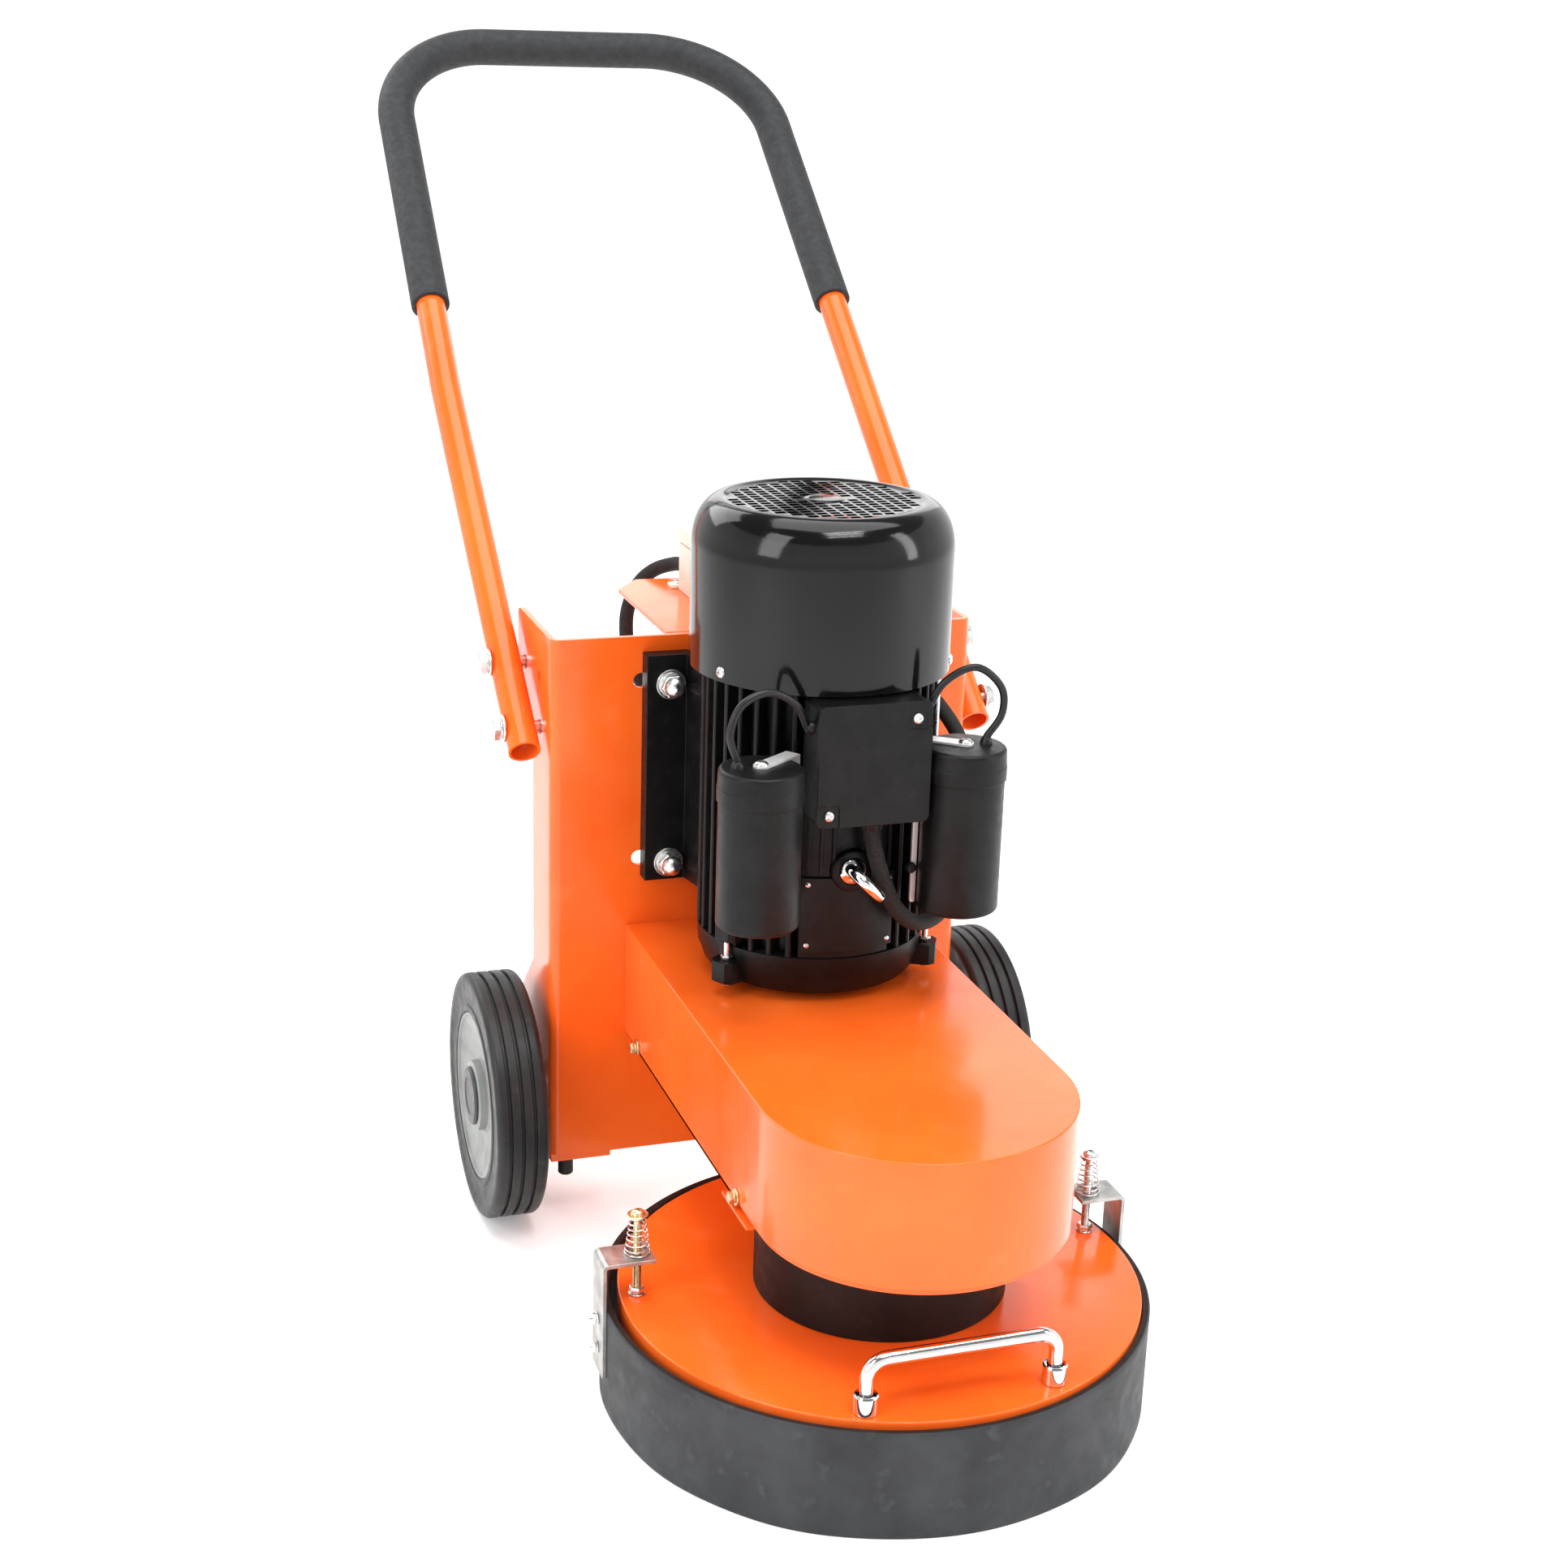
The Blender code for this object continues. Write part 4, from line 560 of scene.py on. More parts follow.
def buildAxle():
    half = chassis["width"] / 2
    y, z = chassis["axle"]
    spacer = ((half + 0.0003), 0.1856)
    right = [(0, 0.2262), (0.01, 0.2262), (0.01, spacer[1]), (0.015, spacer[1]), (0.015, spacer[0]),
        (0.01, spacer[0])]
    left = [(radius, -height) for radius, height in reversed(right)]
    piece("wheelAxle", turned(right + left, 48, "X", (0, y, z)), "turnedSteel", stands=["axle"],
        edge=0.0004)
    for side, name in sides:   # split pins that keep the spacers in place
        x = side * (half + 0.0068)
        piece("axlePin_" + name, merged(pipe([(x, y, z - 0.019), (x, y, z + 0.019)], 0.0016, 12),
            pipe([(x, y + 0.0032 * cos(t), z + 0.0205 + 0.0032 * sin(t))
            for t in [2 * pi * k / 16 for k in range(16)]], 0.0012, 8, closed=True)), "zincPlate")


shelf = dict(half=0.08, rear=0.479, sheet=0.003, flangeLow=0.469)


def buildShelf():
    wall = chassis["front"] + chassis["sheet"] + 0.0003
    top, sheet = chassis["top"], shelf["sheet"]
    bendIn = arc((wall + sheet + 0.002, top - sheet - 0.002), 0.002, 90, 180, 6)
    bendOut = arc((wall + 0.005, top - 0.005), 0.005, 180, 90, 8)
    section = ([(wall, shelf["flangeLow"])] + bendOut + [(shelf["rear"], top),
        (shelf["rear"], top - sheet)] + bendIn + [(wall + sheet, shelf["flangeLow"])])
    corners = [prism([(side * 0.057, 0.479), (side * 0.04, 0.5024), (side * 0.11, 0.47),
        (side * 0.11, 0.406), (side * 0.08, 0.4473)], 0.46, 0.51) for side in (-1, 1)]
    piece("switchShelf", carved(prism(section, -shelf["half"], shelf["half"], "X"), corners),
        "orangeEnamel", stands=["switch_shelf"], edge=0.0005)


def buildHandle():
    bar, straight = loop["half"] - loop["bend"], loop["length"] - loop["bend"]

    def route(start, bends):
        lean = max(0.0, start - loop["setStart"]) / (straight - loop["setStart"])
        flat = [(-loop["half"] + loop["leftSet"] * lean, start)]
        if start < loop["setStart"]:
            flat.append((-loop["half"], loop["setStart"]))
        squeeze = (loop["bend"] - loop["leftSet"]) / loop["bend"]   # the left leg leans in a little
        flat += [(-bar + x * squeeze, along) for x, along in arc((0, straight), loop["bend"], 180, 90,
            bends)]
        flat += arc((bar, straight), loop["bend"], 90, 0, bends)
        flat += [(loop["half"], (start + straight) / 2), (loop["half"], start)]
        return [alongHandle(along, x) for x, along in flat]

    holes = merged(*[prism(circle(alongHandle(d)[1:], 0.0056, 32), -0.25, 0.25, "X")
        for d in loop["bolts"]])
    tube = carved(pipe(route(0.0, 24), loop["tube"], 48, loop["tube"] - loop["wall"]), [holes])
    piece("handleTube", tube, "orangeEnamel", stands=["handle_tube"], edge=0.0003)
    piece("foamGrip", pipe(route(loop["foamStart"], 36), loop["foam"], 64, loop["tube"] + 0.0002),
        "gripFoam", stands=["foam_grip"], edge=0.0007, edgeSteps=3)
    for side, name in sides:
        for number, distance in enumerate(loop["bolts"], 1):
            face = side * (loop["half"] + loop["tube"] + 0.0002)
            inside = abs(face) - chassis["width"] / 2 + chassis["sheet"] + 0.0003
            bolt = hexBolt(0.0085, 0.0062, 0.0118, inside + 0.0095, inside)
            piece(f"handleBolt_{name}_{number}", standing(bolt, alongHandle(distance, face), (side, 0, 0),
                12 * number), "zincPlate", stands=[f"handle_bolt_{name}_{number}"], edge=0.0002)


buildFrame()
buildAxle()
buildShelf()
buildHandle()
print("frame, axle, shelf and handle built")

# wheels

wheel = dict(radius=0.1, width=0.0417, outer=0.2278, grooves=(-0.0098, 0.0, 0.0098), depth=0.0032)


def buildWheels():
    half, radius = wheel["width"] / 2, wheel["radius"]
    y, z = chassis["axle"]
    tread = arc((radius - 0.005, -half + 0.005), 0.005, -80, 0, 6)
    for centre in wheel["grooves"]:
        tread += [(radius, centre - 0.0019), (radius - 0.0007, centre - 0.0013),
            (radius - wheel["depth"], centre - 0.001), (radius - wheel["depth"], centre + 0.001),
            (radius - 0.0007, centre + 0.0013), (radius, centre + 0.0019)]
    tread += arc((radius - 0.005, half - 0.005), 0.005, 0, 80, 6)
    wall = [(0.09, half - 0.0004), (0.0885, half - 0.0011), (0.0745, half - 0.0016),
        (0.0735, half - 0.0008), (0.07, half - 0.0008), (0.0685, half - 0.002)]
    tyre = [(a, -b) for a, b in reversed(wall)] + tread + wall
    face = [(0.0683, half - 0.0024), (0.0672, half - 0.0012), (0.0658, half - 0.0012),
        (0.0645, half - 0.0032), (0.056, half - 0.0062), (0.04, half - 0.0085),
        (0.031, half - 0.0085), (0.029, half - 0.007), (0.0283, half - 0.001),
        (0.026, half - 0.0002), (0.0103, half - 0.0002)]
    back = [(a, -b) for a, b in reversed(face)]
    cap = [(0, half), (0.0238, half), (0.0238, half + 0.0014), (0.0226, half + 0.0029),
        (0.016, half + 0.0031), (0.015, half + 0.0022), (0, half + 0.0022)]
    for side, name in sides:
        at = (side * (wheel["outer"] - half), y, z)
        body = name + "_wheel"
        piece(f"tyre_{name}_solid", turned([(a, side * b) for a, b in tyre], 160, "X", at), "tyreRubber",
            body, ["tyre_" + name], sharp=28)
        piece("wheelDisc_" + name, turned([(a, side * b) for a, b in face + back], 128, "X", at),
            "hubGrey", body, ["wheel_disc_" + name], sharp=28)
        piece("wheelCap_" + name, turned([(a, side * b) for a, b in cap], 64, "X", at), "capGrey", body,
            edge=0.0003)


buildWheels()
print("wheels built")

# belt guard

guard = dict(radius=0.112, arcY=-0.0505, top=0.2549, bottom=0.163, sheet=0.0025, floor=(0.159, 0.1626),
    bolts=((0.2537, 0.1665), (-0.0073, 0.1666)))


def guardOutline(inset, rear, steps=64):
    radius = guard["radius"] - inset
    return [(radius, rear), (-radius, rear)] + arc((0, guard["arcY"]), radius, 180, 360, steps)


def buildGuard():
    rear, sheet = chassis["front"] - 0.0003, guard["sheet"]
    inside = prism(guardOutline(sheet, rear + 0.01), guard["bottom"] - 0.01, guard["top"] - sheet)
    shaft = prism(circle(motorAxis, 0.024), guard["top"] - 0.01, guard["top"] + 0.01)
    holes = [standing(turned([(0, -0.01), (0.0032, -0.01), (0.0032, 0.01), (0, 0.01)], 24),
        (side * guard["radius"], y, z), (1, 0, 0)) for side in (-1, 1) for y, z in guard["bolts"]]
    shell = carved(prism(guardOutline(0, rear), guard["bottom"], guard["top"]),
        [inside, shaft, merged(*holes)])
    piece("beltGuard", shell, "orangeEnamel", stands=["belt_guard"], edge=0.0011, edgeSteps=3)
    plate = carved(prism(guardOutline(sheet + 0.0004, rear), *guard["floor"]),
        [prism(circle((0, 0), 0.03), 0.15, 0.17)])
    lips = [block((side * (guard["radius"] - 0.0125), side * (guard["radius"] + 0.003)), (-0.038, 0.018),
        (guard["floor"][0] - 0.0024, guard["floor"][0] - 0.0001)) for side in (-1, 1)]
    piece("guardFloor", plate, "orangeEnamel", stands=["guard_floor"], edge=0.0004)
    for lip, name in zip(lips, ("left", "right")):   # small tabs that the guard's front bolts hold
        piece("guardTab_" + name, lip, "orangeEnamel", edge=0.0005)
    for side, name in sides:
        for number, (y, z) in enumerate(guard["bolts"], 1):
            bolt = hexBolt(0.004, 0.0034, 0.0062, 0.008)
            piece(f"guardBolt_{name}_{number}", standing(bolt, (side * (guard["radius"] + 0.0001), y, z),
                (side, 0, 0), 8), "yellowZinc", edge=0.00015)


buildGuard()
print("belt guard built")

# grinding head

head = dict(skirt=0.1975, skirtAt=(-0.0025, 0.0015), wall=0.0055, height=0.08, deck=0.1885,
    deckTop=0.0835, sheet=0.005, rimLow=0.052, hub=0.091, pad=0.172, padThick=0.0215,
    boltAt=(0.1743, 0.0241), tab=0.113, tabReach=0.164, legFace=dict(left=0.1998, right=0.1965))
carry = dict(x=-0.0035, y=-0.163, half=0.0674, height=0.038, bar=0.005, bend=0.014, collar=0.0085)


def skirtMesh():
    # rubber wall that is a little uneven, as a strip rolled round and joined would be
    inner, outer, top = head["skirt"] - head["wall"], head["skirt"], head["height"]
    profile = [(inner + 0.0004, 0.0), (outer - 0.0005, 0.0), (outer, 0.0007)]
    profile += [(outer, top * k / 12) for k in range(1, 12)] + [(outer, top - 0.0012),
        (outer - 0.001, top)]
    profile += [(inner + 0.0008, top), (inner, top - 0.001)] + [(inner, top * k / 6)
        for k in range(5, 0, -1)]
    profile.append((inner, 0.0008))
    bm = turned(profile, 240)
    for vert in bm.verts:
        out = Vector((vert.co.x, vert.co.y, 0)).normalized()
        turn = atan2(vert.co.y, vert.co.x)
        swell = 0.0004 * sin(5 * turn
            + 0.7) + 0.0003 * sin(11 * turn) + 0.0005 * noise.noise(vert.co * 14)
        vert.co += out * swell * (1 - vert.co.z / top) * 1.2
    bmesh.ops.translate(bm, verts=bm.verts, vec=(*head["skirtAt"], 0))
    return bm


def buildHead():
    deckTop, sheet, radius = head["deckTop"], head["sheet"], head["deck"]
    under, inner = deckTop - sheet, radius - 0.004
    edge = arc((radius - 0.001, deckTop - 0.001), 0.001, 90, 0, 5)
    profile = [(0.0302, under), (inner, under), (inner, head["rimLow"]),
        (radius, head["rimLow"])] + edge[::-1]
    profile.append((0.0302, deckTop))
    boltX, boltY = head["boltAt"]
    holes = merged(*[prism(circle((side * boltX, boltY), 0.0034, 24), under - 0.01, deckTop + 0.01)
        for side in (-1, 1)])
    piece("deckPlate", carved(turned(profile, 192), [holes]), "orangeEnamel", stands=["deck"], sharp=40)
    low, high, hub = deckTop + 0.0002, guard["floor"][0] - 0.0002, head["hub"]
    drum = [(0.0264, low), (0.036, low), (0.036, high - 0.008), (hub - 0.004, high - 0.008),
        (hub - 0.004, low), (hub - 0.0006, low), (hub, low + 0.0006), (hub, high - 0.0006),
        (hub - 0.0006, high), (0.0264, high)]
    # the drum's finish carries a painted reflection of the orange parts around it
    piece("bearingDrum", turned(drum, 160), "drumBlackReflectedOrange", stands=["hub_housing"])
    piece("skirtRing", skirtMesh(), "skirtRubber", "skirt", ["skirt_ring"], sharp=40)
    top = head["height"]
    piece("skirtRim", turned([(head["skirt"] - 0.0047, top - 0.0004),
        (head["skirt"] - 0.0009, top - 0.0004), (head["skirt"] - 0.0012, top + 0.0002),
        (head["skirt"] - 0.0044, top + 0.0002)], 240, at=(*head["skirtAt"], 0)), "rimRubber", "skirt")
    buildCarryHandle()
    for side, name in sides:
        buildSpringPost(side, name)
    shaft = [(0, 0.0225), (0.0125, 0.0225), (0.0125, 0.0456), (0.028, 0.0456), (0.028, 0.0516),
        (0.0125, 0.0516), (0.0125, 0.224), (0, 0.224)]
    piece("spindleShaft", turned(shaft, 64), "turnedSteel", "disc", ["spindle"], edge=0.0004)
    plateLow = head["padThick"] + 0.0003
    plate = [(0.0128, plateLow), (0.166, plateLow), (0.166, plateLow + 0.008), (0.032, plateLow + 0.008),
        (0.03, 0.0453), (0.0128, 0.0453)]
    piece("drivePlate", turned(plate, 128), "castPulley", "disc", ["drive_plate"], edge=0.0006)
    pad, thick = head["pad"], head["padThick"]
    disc = [(0, 0.0008), (0.024, 0.0008), (0.026, 0), (pad - 0.002, 0), (pad, 0.003),
        (pad, thick - 0.001), (pad - 0.001, thick), (0, thick)]
    piece("workingPad", turned(disc, 160), "abrasivePad", "disc", ["work_pad"])


def buildCarryHandle():
    half, bend, foot = carry["half"], carry["bend"], head["deckTop"] + 0.0002
    bar = head["deckTop"] + carry["height"]
    flat = [(-half, foot + 0.004)] + arc((-half + bend, bar - bend), bend, 180, 90, 12)
    flat += arc((half - bend, bar - bend), bend, 90, 0, 12) + [(half, foot + 0.004)]
    rod = pipe([(carry["x"] + x, carry["y"], z) for x, z in flat], carry["bar"], 32)
    collars = []
    for side in (-1, 1):
        cup = [(0, foot), (carry["collar"] - 0.0006, foot), (carry["collar"], foot + 0.0006),
            (carry["collar"], foot + 0.0128), (carry["collar"] - 0.001, foot + 0.014),
            (0.0058, foot + 0.0136), (0.0051, foot + 0.0105), (0, foot + 0.0105)]
        collars.append(turned(cup, 48, at=(carry["x"] + side * half, carry["y"], 0)))
    piece("carryHandle", merged(rod, *collars), "chromeBar", stands=["carry_handle"])


def buildSpringPost(side, name):
    x, y = side * head["boltAt"][0], head["boltAt"][1]
    top, tab, sheet = head["deckTop"], head["tab"], 0.003
    headZ = top + 0.0618
    shank = [(0, 0.071), (0.003, 0.071)]
    threads = [(0.003 - 0.00035 * (k % 2), 0.0745 + 0.0005 * k) for k in range(130)]
    post = merged(turned(shank + threads + [(0.003, headZ), (0, headZ)], 24),
        ringPart(0.002, 0.0075, headZ - 0.0005, headZ + 0.0011),
        standing(panScrew(0.005, 0.0036), (0, 0, headZ + 0.001)))
    nuts = merged(standing(hexPart(0.005, 0, 0.0046), (0, 0, top + 0.0014)),
        ringPart(0.0031, 0.0062, top + 0.0002, top + 0.0012), standing(hexPart(0.005, 0, 0.0046),
        (0, 0, top - head["sheet"] - 0.005)))
    shade = "yellowZinc" if side < 0 else "zincPlate"   # the two bolts are plated differently
    piece("springBolt_" + name, standing(post, (x, y, 0)), shade, stands=["spring_bolt_" + name])
    piece("springNuts_" + name, standing(nuts, (x, y, 0)), "zincPlate")
    coilLow, coilHigh, turns = tab + sheet + 0.0009, headZ - 0.0013, 8.5
    coil = []
    for k in range(int(turns * 24) + 1):
        part = k / (turns * 24)
        lift = min(max((part - 0.11) / 0.8, 0), 1)   # flat end turns
        size = 0.0094 - 0.0044 * part
        coil.append((x + size * cos(2 * pi * k / 24), y + size * sin(2 * pi * k / 24), coilLow
            + (coilHigh - coilLow) * lift))
    spring = piece("skirtSpring_" + name, pipe(coil, 0.00055, 10), "zincPlate",
        stands=["skirt_spring_" + name])
    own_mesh(spring)
    face, reach, bend = head["legFace"][name], head["tabReach"], 0.0045
    outer = face + sheet
    angle = ([(face, 0.027), (outer, 0.027)] + arc((outer - bend, tab + sheet - bend), bend, 0, 90, 8)
        + [(reach, tab + sheet), (reach, tab)] + arc((outer - bend, tab + sheet - bend), bend - sheet, 90,
        0, 6))
    bracket = prism([(side * a, b) for a, b in angle], y - 0.014, y + 0.014, "Y")
    hole = prism(circle((x, y), 0.0042, 24), tab - 0.01, tab + 0.01)
    piece("skirtBracket_" + name, carved(bracket, [hole]), "bracketSteel", "skirt",
        ["skirt_bracket_" + name], edge=0.0004)
    for number, z in enumerate((0.068, 0.045), 1):
        at = (side * (outer + 0.0001), y, z)
        screw = merged(ringPart(0.002, 0.0045, 0, 0.0009), hexPart(0.0035, 0.0009, 0.0034, 0.0005),
            turned([(0, -0.004), (0.002, -0.004), (0.002, 0.0062), (0.0016, 0.0068), (0, 0.0068)], 20))
        piece(f"bracketScrew_{name}_{number}", standing(screw, at, (side, 0, 0), 15 * number),
            "zincPlate", "skirt")


buildHead()
print("grinding head built")

# motor

motor = dict(bottom=0.2925, top=0.5, tip=0.086, root=0.0735, fins=36, bare=28, cover=0.0962,
    coverLow=0.4945, shoulder=0.583, coverTop=0.6171, grille=0.0748, bellLow=0.2608,
    pitch=(0.0095, 0.0082), hole=(0.0075, 0.0062))


def aroundMotor(radius, degrees, z):
    turn = radians(degrees)
    return (motorAxis[0] + radius * cos(turn), motorAxis[1] + radius * sin(turn), z)


def buildHousing():
    pitch = 360 / motor["fins"]
    outline = []
    for k in range(motor["fins"]):
        angle = k * pitch
        if abs(angle - 270) < motor["bare"]:
            outline += arc(motorAxis, motor["tip"] - 0.0016, angle - pitch / 2, angle + pitch / 2, 6)[:-1]
            continue
        for radius, turn in ((motor["root"], -0.34), (motor["root"] + 0.0016, -0.21),
                (motor["tip"] - 0.0008, -0.135), (motor["tip"], -0.07), (motor["tip"], 0.07),
                (motor["tip"] - 0.0008, 0.135), (motor["root"] + 0.0016, 0.21), (motor["root"], 0.34)):
            t = radians(angle + turn * pitch)
            outline.append((motorAxis[0] + radius * cos(t), motorAxis[1] + radius * sin(t)))
    bore = prism(circle(motorAxis, 0.053, 64), motor["bottom"] - 0.01, motor["top"] + 0.01)
    body = carved(prism(outline, motor["bottom"], motor["top"]), [bore])
    piece("finnedHousing", body, "satinBlack", stands=["motor_housing"], edge=0.0003, sharp=25)
    ribs = []
    for degrees in (249, 255, 261, 279, 285, 291):   # low ribs on the plain front
        rib = block((motor["tip"] - 0.004, motor["tip"] + 0.0006), (-0.0015, 0.0015), (0.3585, 0.404))
        ribs.append(standing(rib, (*motorAxis, 0), spin=degrees))
    piece("frontRibs", merged(*ribs), "satinBlack", edge=0.0005)


def buildBells():
    high, low, bore = motor["bottom"] - 0.0002, motor["bellLow"], 0.0146
    lower = [(bore, low), (0.0735, low), (0.0775, low + 0.0012), (0.0812, low + 0.006),
        (0.0832, low + 0.013), (0.085, low + 0.0165), (0.0858, high - 0.0004), (0.085, high),
        (0.05, high), (0.044, high - 0.018), (bore, high - 0.018)]
    ears, tops, bolts = [], [], []
    for degrees in (60, 120, 207.5, 332.5):
        for store, (z0, z1), reach in ((ears, (0.2655, 0.2815), 0.0975),
                (tops, (0.2975, 0.3105), 0.095)):
            ear = prism([(0.07, -0.0115), (reach - 0.004, -0.0105), (reach, -0.0065), (reach, 0.0065),
                (reach - 0.004, 0.0105), (0.07, 0.0115)], z0, z1)
            store.append(standing(ear, (*motorAxis, 0), spin=degrees))
        at = aroundMotor(0.0888, degrees, 0)
        rodTop = 0.496 if degrees > 300 else 0.3   # only the right front rod shows above its lug
        bolts.append(merged(turned([(0, 0.2622), (0.0022, 0.2622), (0.0022, rodTop), (0, rodTop)], 20,
            at=at), standing(hexPart(0.004, 0, 0.0032, 0.0005), (at[0], at[1], 0.262)),
            standing(hexPart(0.004, 0, 0.0036, 0.0005), (at[0], at[1], 0.2817))))
    bell = carved(turned(lower, 128, at=(*motorAxis, 0)), adds=ears)
    piece("driveEndBell", bell, "satinBlack", stands=["end_bell_drive"], edge=0.0007)
    piece("housingLugs", merged(*tops), "satinBlack", edge=0.0006)
    piece("throughBolts", merged(*bolts), "zincPlate")
    low = motor["top"] + 0.0003
    upper = [(bore, low), (0.085, low), (0.085, low + 0.01), (0.03, low + 0.014), (bore, low + 0.014)]
    piece("fanEndBell", turned(upper, 96, at=(*motorAxis, 0)), "satinBlack", stands=["end_bell_fan"],
        edge=0.0006)


def buildFanCover():
    def shoulder(radius, top, inset=0.0):
        flat, base = motor["grille"] - inset, motor["shoulder"]
        return [(flat + (radius - flat) * cos(radians(t)), base + (top - base) * sin(radians(t)))
            for t in range(0, 91, 6)]

    sheet, top, radius = 0.0015, motor["coverTop"], motor["cover"]
    outer = [(radius, motor["coverLow"])] + shoulder(radius, top) + [(0.0725, top - 0.0002),
        (0.0705, top - 0.0012), (0, top - 0.0012)]
    inner = [(radius - sheet, motor["coverLow"])] + shoulder(radius - sheet, top - sheet
        - 0.0012) + [(0, top - sheet - 0.0012)]
    shell = turned(outer + inner[::-1], 192, at=(*motorAxis, 0))
    holes = []
    wide, deep = motor["hole"][0] / 2, motor["hole"][1] / 2
    for i in range(-7, 8):
        for j in range(-8, 9):
            x, y = i * motor["pitch"][0], j * motor["pitch"][1]
            if hypot(x * 0.8, y) > 0.0165 and hypot(abs(x) + wide * 0.6, abs(y) + deep * 0.6) < 0.0705:
                holes.append(block((motorAxis[0] + x - wide, motorAxis[0] + x + wide),
                    (motorAxis[1] + y - deep, motorAxis[1] + y + deep), (top - 0.01, top + 0.01)))
    piece("fanCover", carved(shell, [merged(*holes)]), "glossBlack", stands=["fan_cover"], sharp=32)
    boss = [(0, -0.001), (0.015, -0.001), (0.015, 0.0001), (0.014, 0.0007), (0.011, 0.001),
        (0, 0.001)]
    # plain disc in the grille's middle
    piece("coverBoss", turned(boss, 64, at=(*motorAxis, top - 0.0012)), "glossBlack")
    for number, degrees in enumerate((204, 336, 64, 116), 1):
        turn = radians(degrees)
        piece(f"coverScrew_{number}", standing(panScrew(0.0042, 0.0026),
            aroundMotor(radius - 0.0002, degrees, 0.5015), (cos(turn), sin(turn), 0), 20 * number),
            "zincPlate")
    low = 0.5185
    hub = [(0.0098, low), (0.078, low), (0.078, low + 0.003), (0.02, low + 0.003), (0.018, low + 0.034),
        (0.0098, low + 0.034)]
    blades = [turned(hub, 64, at=(*motorAxis, 0))]
    for k in range(10):
        blade = prism([(0.0172, -0.001), (0.046, -0.001), (0.0765, -0.0013), (0.0765, 0.0013),
            (0.046, 0.001), (0.0172, 0.001)], low + 0.0028, low + 0.033)
        blades.append(standing(blade, (*motorAxis, 0), spin=36 * k))
    piece("coolingFan", merged(*blades), "mouldedBlack", "rotor", ["cooling_fan"], edge=0.0003)


def buildFeet():
    rear = chassis["front"] - 0.0003
    front = rear - feet["thick"]
    shape = [(feet["half"], front), (feet["half"], rear), (0.046, rear), (0.038, 0.2574), (0.038, 0.2334),
        (0.064, 0.2234), (0.067, 0.2574), (0.072, front)]
    for side, name in sides:
        pad = prism([(motorAxis[0] + side * x, y) for x, y in shape], *feet["z"])
        cuts = [prism(circle(motorAxis, motor["tip"] + 0.0012, 128), 0.28, 0.49)]
        cuts += [prism(circle((motorAxis[0] + side * feet["boltX"], z), 0.0058, 32), front - 0.01, rear
            + 0.01, "Y") for z in feet["boltZ"]]
        piece("motorFoot_" + name, carved(pad, cuts), "satinBlack", stands=["motor_foot_" + name],
            edge=0.001, edgeSteps=3)
        for number, z in enumerate(feet["boltZ"], 1):
            x = motorAxis[0] + side * feet["boltX"]
            thick = feet["thick"] + chassis["sheet"] + 0.0006
            shank = turned([(0, -thick - 0.0105), (0.0046, -thick - 0.0105), (0.0049, -thick - 0.0098),
                (0.0049, 0.004), (0, 0.004)], 32)
            behind = merged(ringPart(0.0045, 0.011, -thick - 0.0018, -thick),
                hexPart(0.0085, -thick - 0.0085, -thick - 0.0017))
            nut = merged(acornNut(0.0082, 0.019, 0.0118), shank, behind)
            piece(f"footBolt_{name}_{number}", standing(nut, (x, front - 0.0001, z), (0, -1, 0),
                17 * number), "zincPlate", stands=[f"foot_bolt_{name}_{number}"], edge=0.0002)


def buildPlateAndEye():
    sheet = []
    for radius in (motor["tip"] + 0.0012, motor["tip"] - 0.0004):
        sheet += arc(motorAxis, radius, 246, 294, 24) if not sheet else arc(motorAxis, radius, 294, 246,
            24)
    piece("ratingPlate", prism(sheet, 0.2985, 0.3555), "mouldedBlack", edge=0.0003)   # plain, nothing on it
    rivets = [standing(turned([(0, 0), (0.0021, 0), (0.0018, 0.0008), (0.0009, 0.0013), (0, 0.0014)], 20),
        aroundMotor(motor["tip"] + 0.0012, degrees, z), (cos(radians(degrees)), sin(radians(degrees)), 0))
        for degrees in (249, 291) for z in (0.3035, 0.3505)]
    piece("plateRivets", merged(*rivets), "zincPlate")
    face, height = motorAxis[1] - motor["tip"] - 0.0002, 0.361
    big, small = 0.014, 0.0042
    ring = pipe([(big * cos(2 * pi * k / 64), big * sin(2 * pi * k / 64) - 0.028, 0) for k in range(64)],
        small, 24, closed=True)
    bmesh.ops.rotate(ring, verts=ring.verts, cent=(0, 0, 0), matrix=Matrix.Rotation(radians(45), 3, 'Y'))
    stem = [(radius, -depth) for radius, depth in ((0, 0), (0.0098, 0), (0.0098, 0.0036),
        (0.0088, 0.0046), (0.0056, 0.0062), (0.0048, 0.009), (0.005, 0.0125), (0.0036, 0.0142),
        (0, 0.0145))]
    eye = merged(ring, turned(stem, 48, "Y"))
    bmesh.ops.translate(eye, verts=eye.verts, vec=(motorAxis[0], face, height))
    piece("liftingEye", eye, "chromeBar", stands=["eye_bolt"])
    seat = [(radius, -depth) for radius, depth in ((0.0099, -0.0035), (0.0158, -0.0035), (0.0158, 0.0016),
        (0.015, 0.003), (0.0128, 0.0036), (0.0106, 0.0034), (0.0099, 0.0024))]
    piece("eyeSeat", turned(seat, 64, "Y", (motorAxis[0], face, height)), "satinBlack")


buildHousing()
buildBells()
buildFanCover()
buildFeet()
buildPlateAndEye()
print("motor built")

# terminal box, capacitors and leads

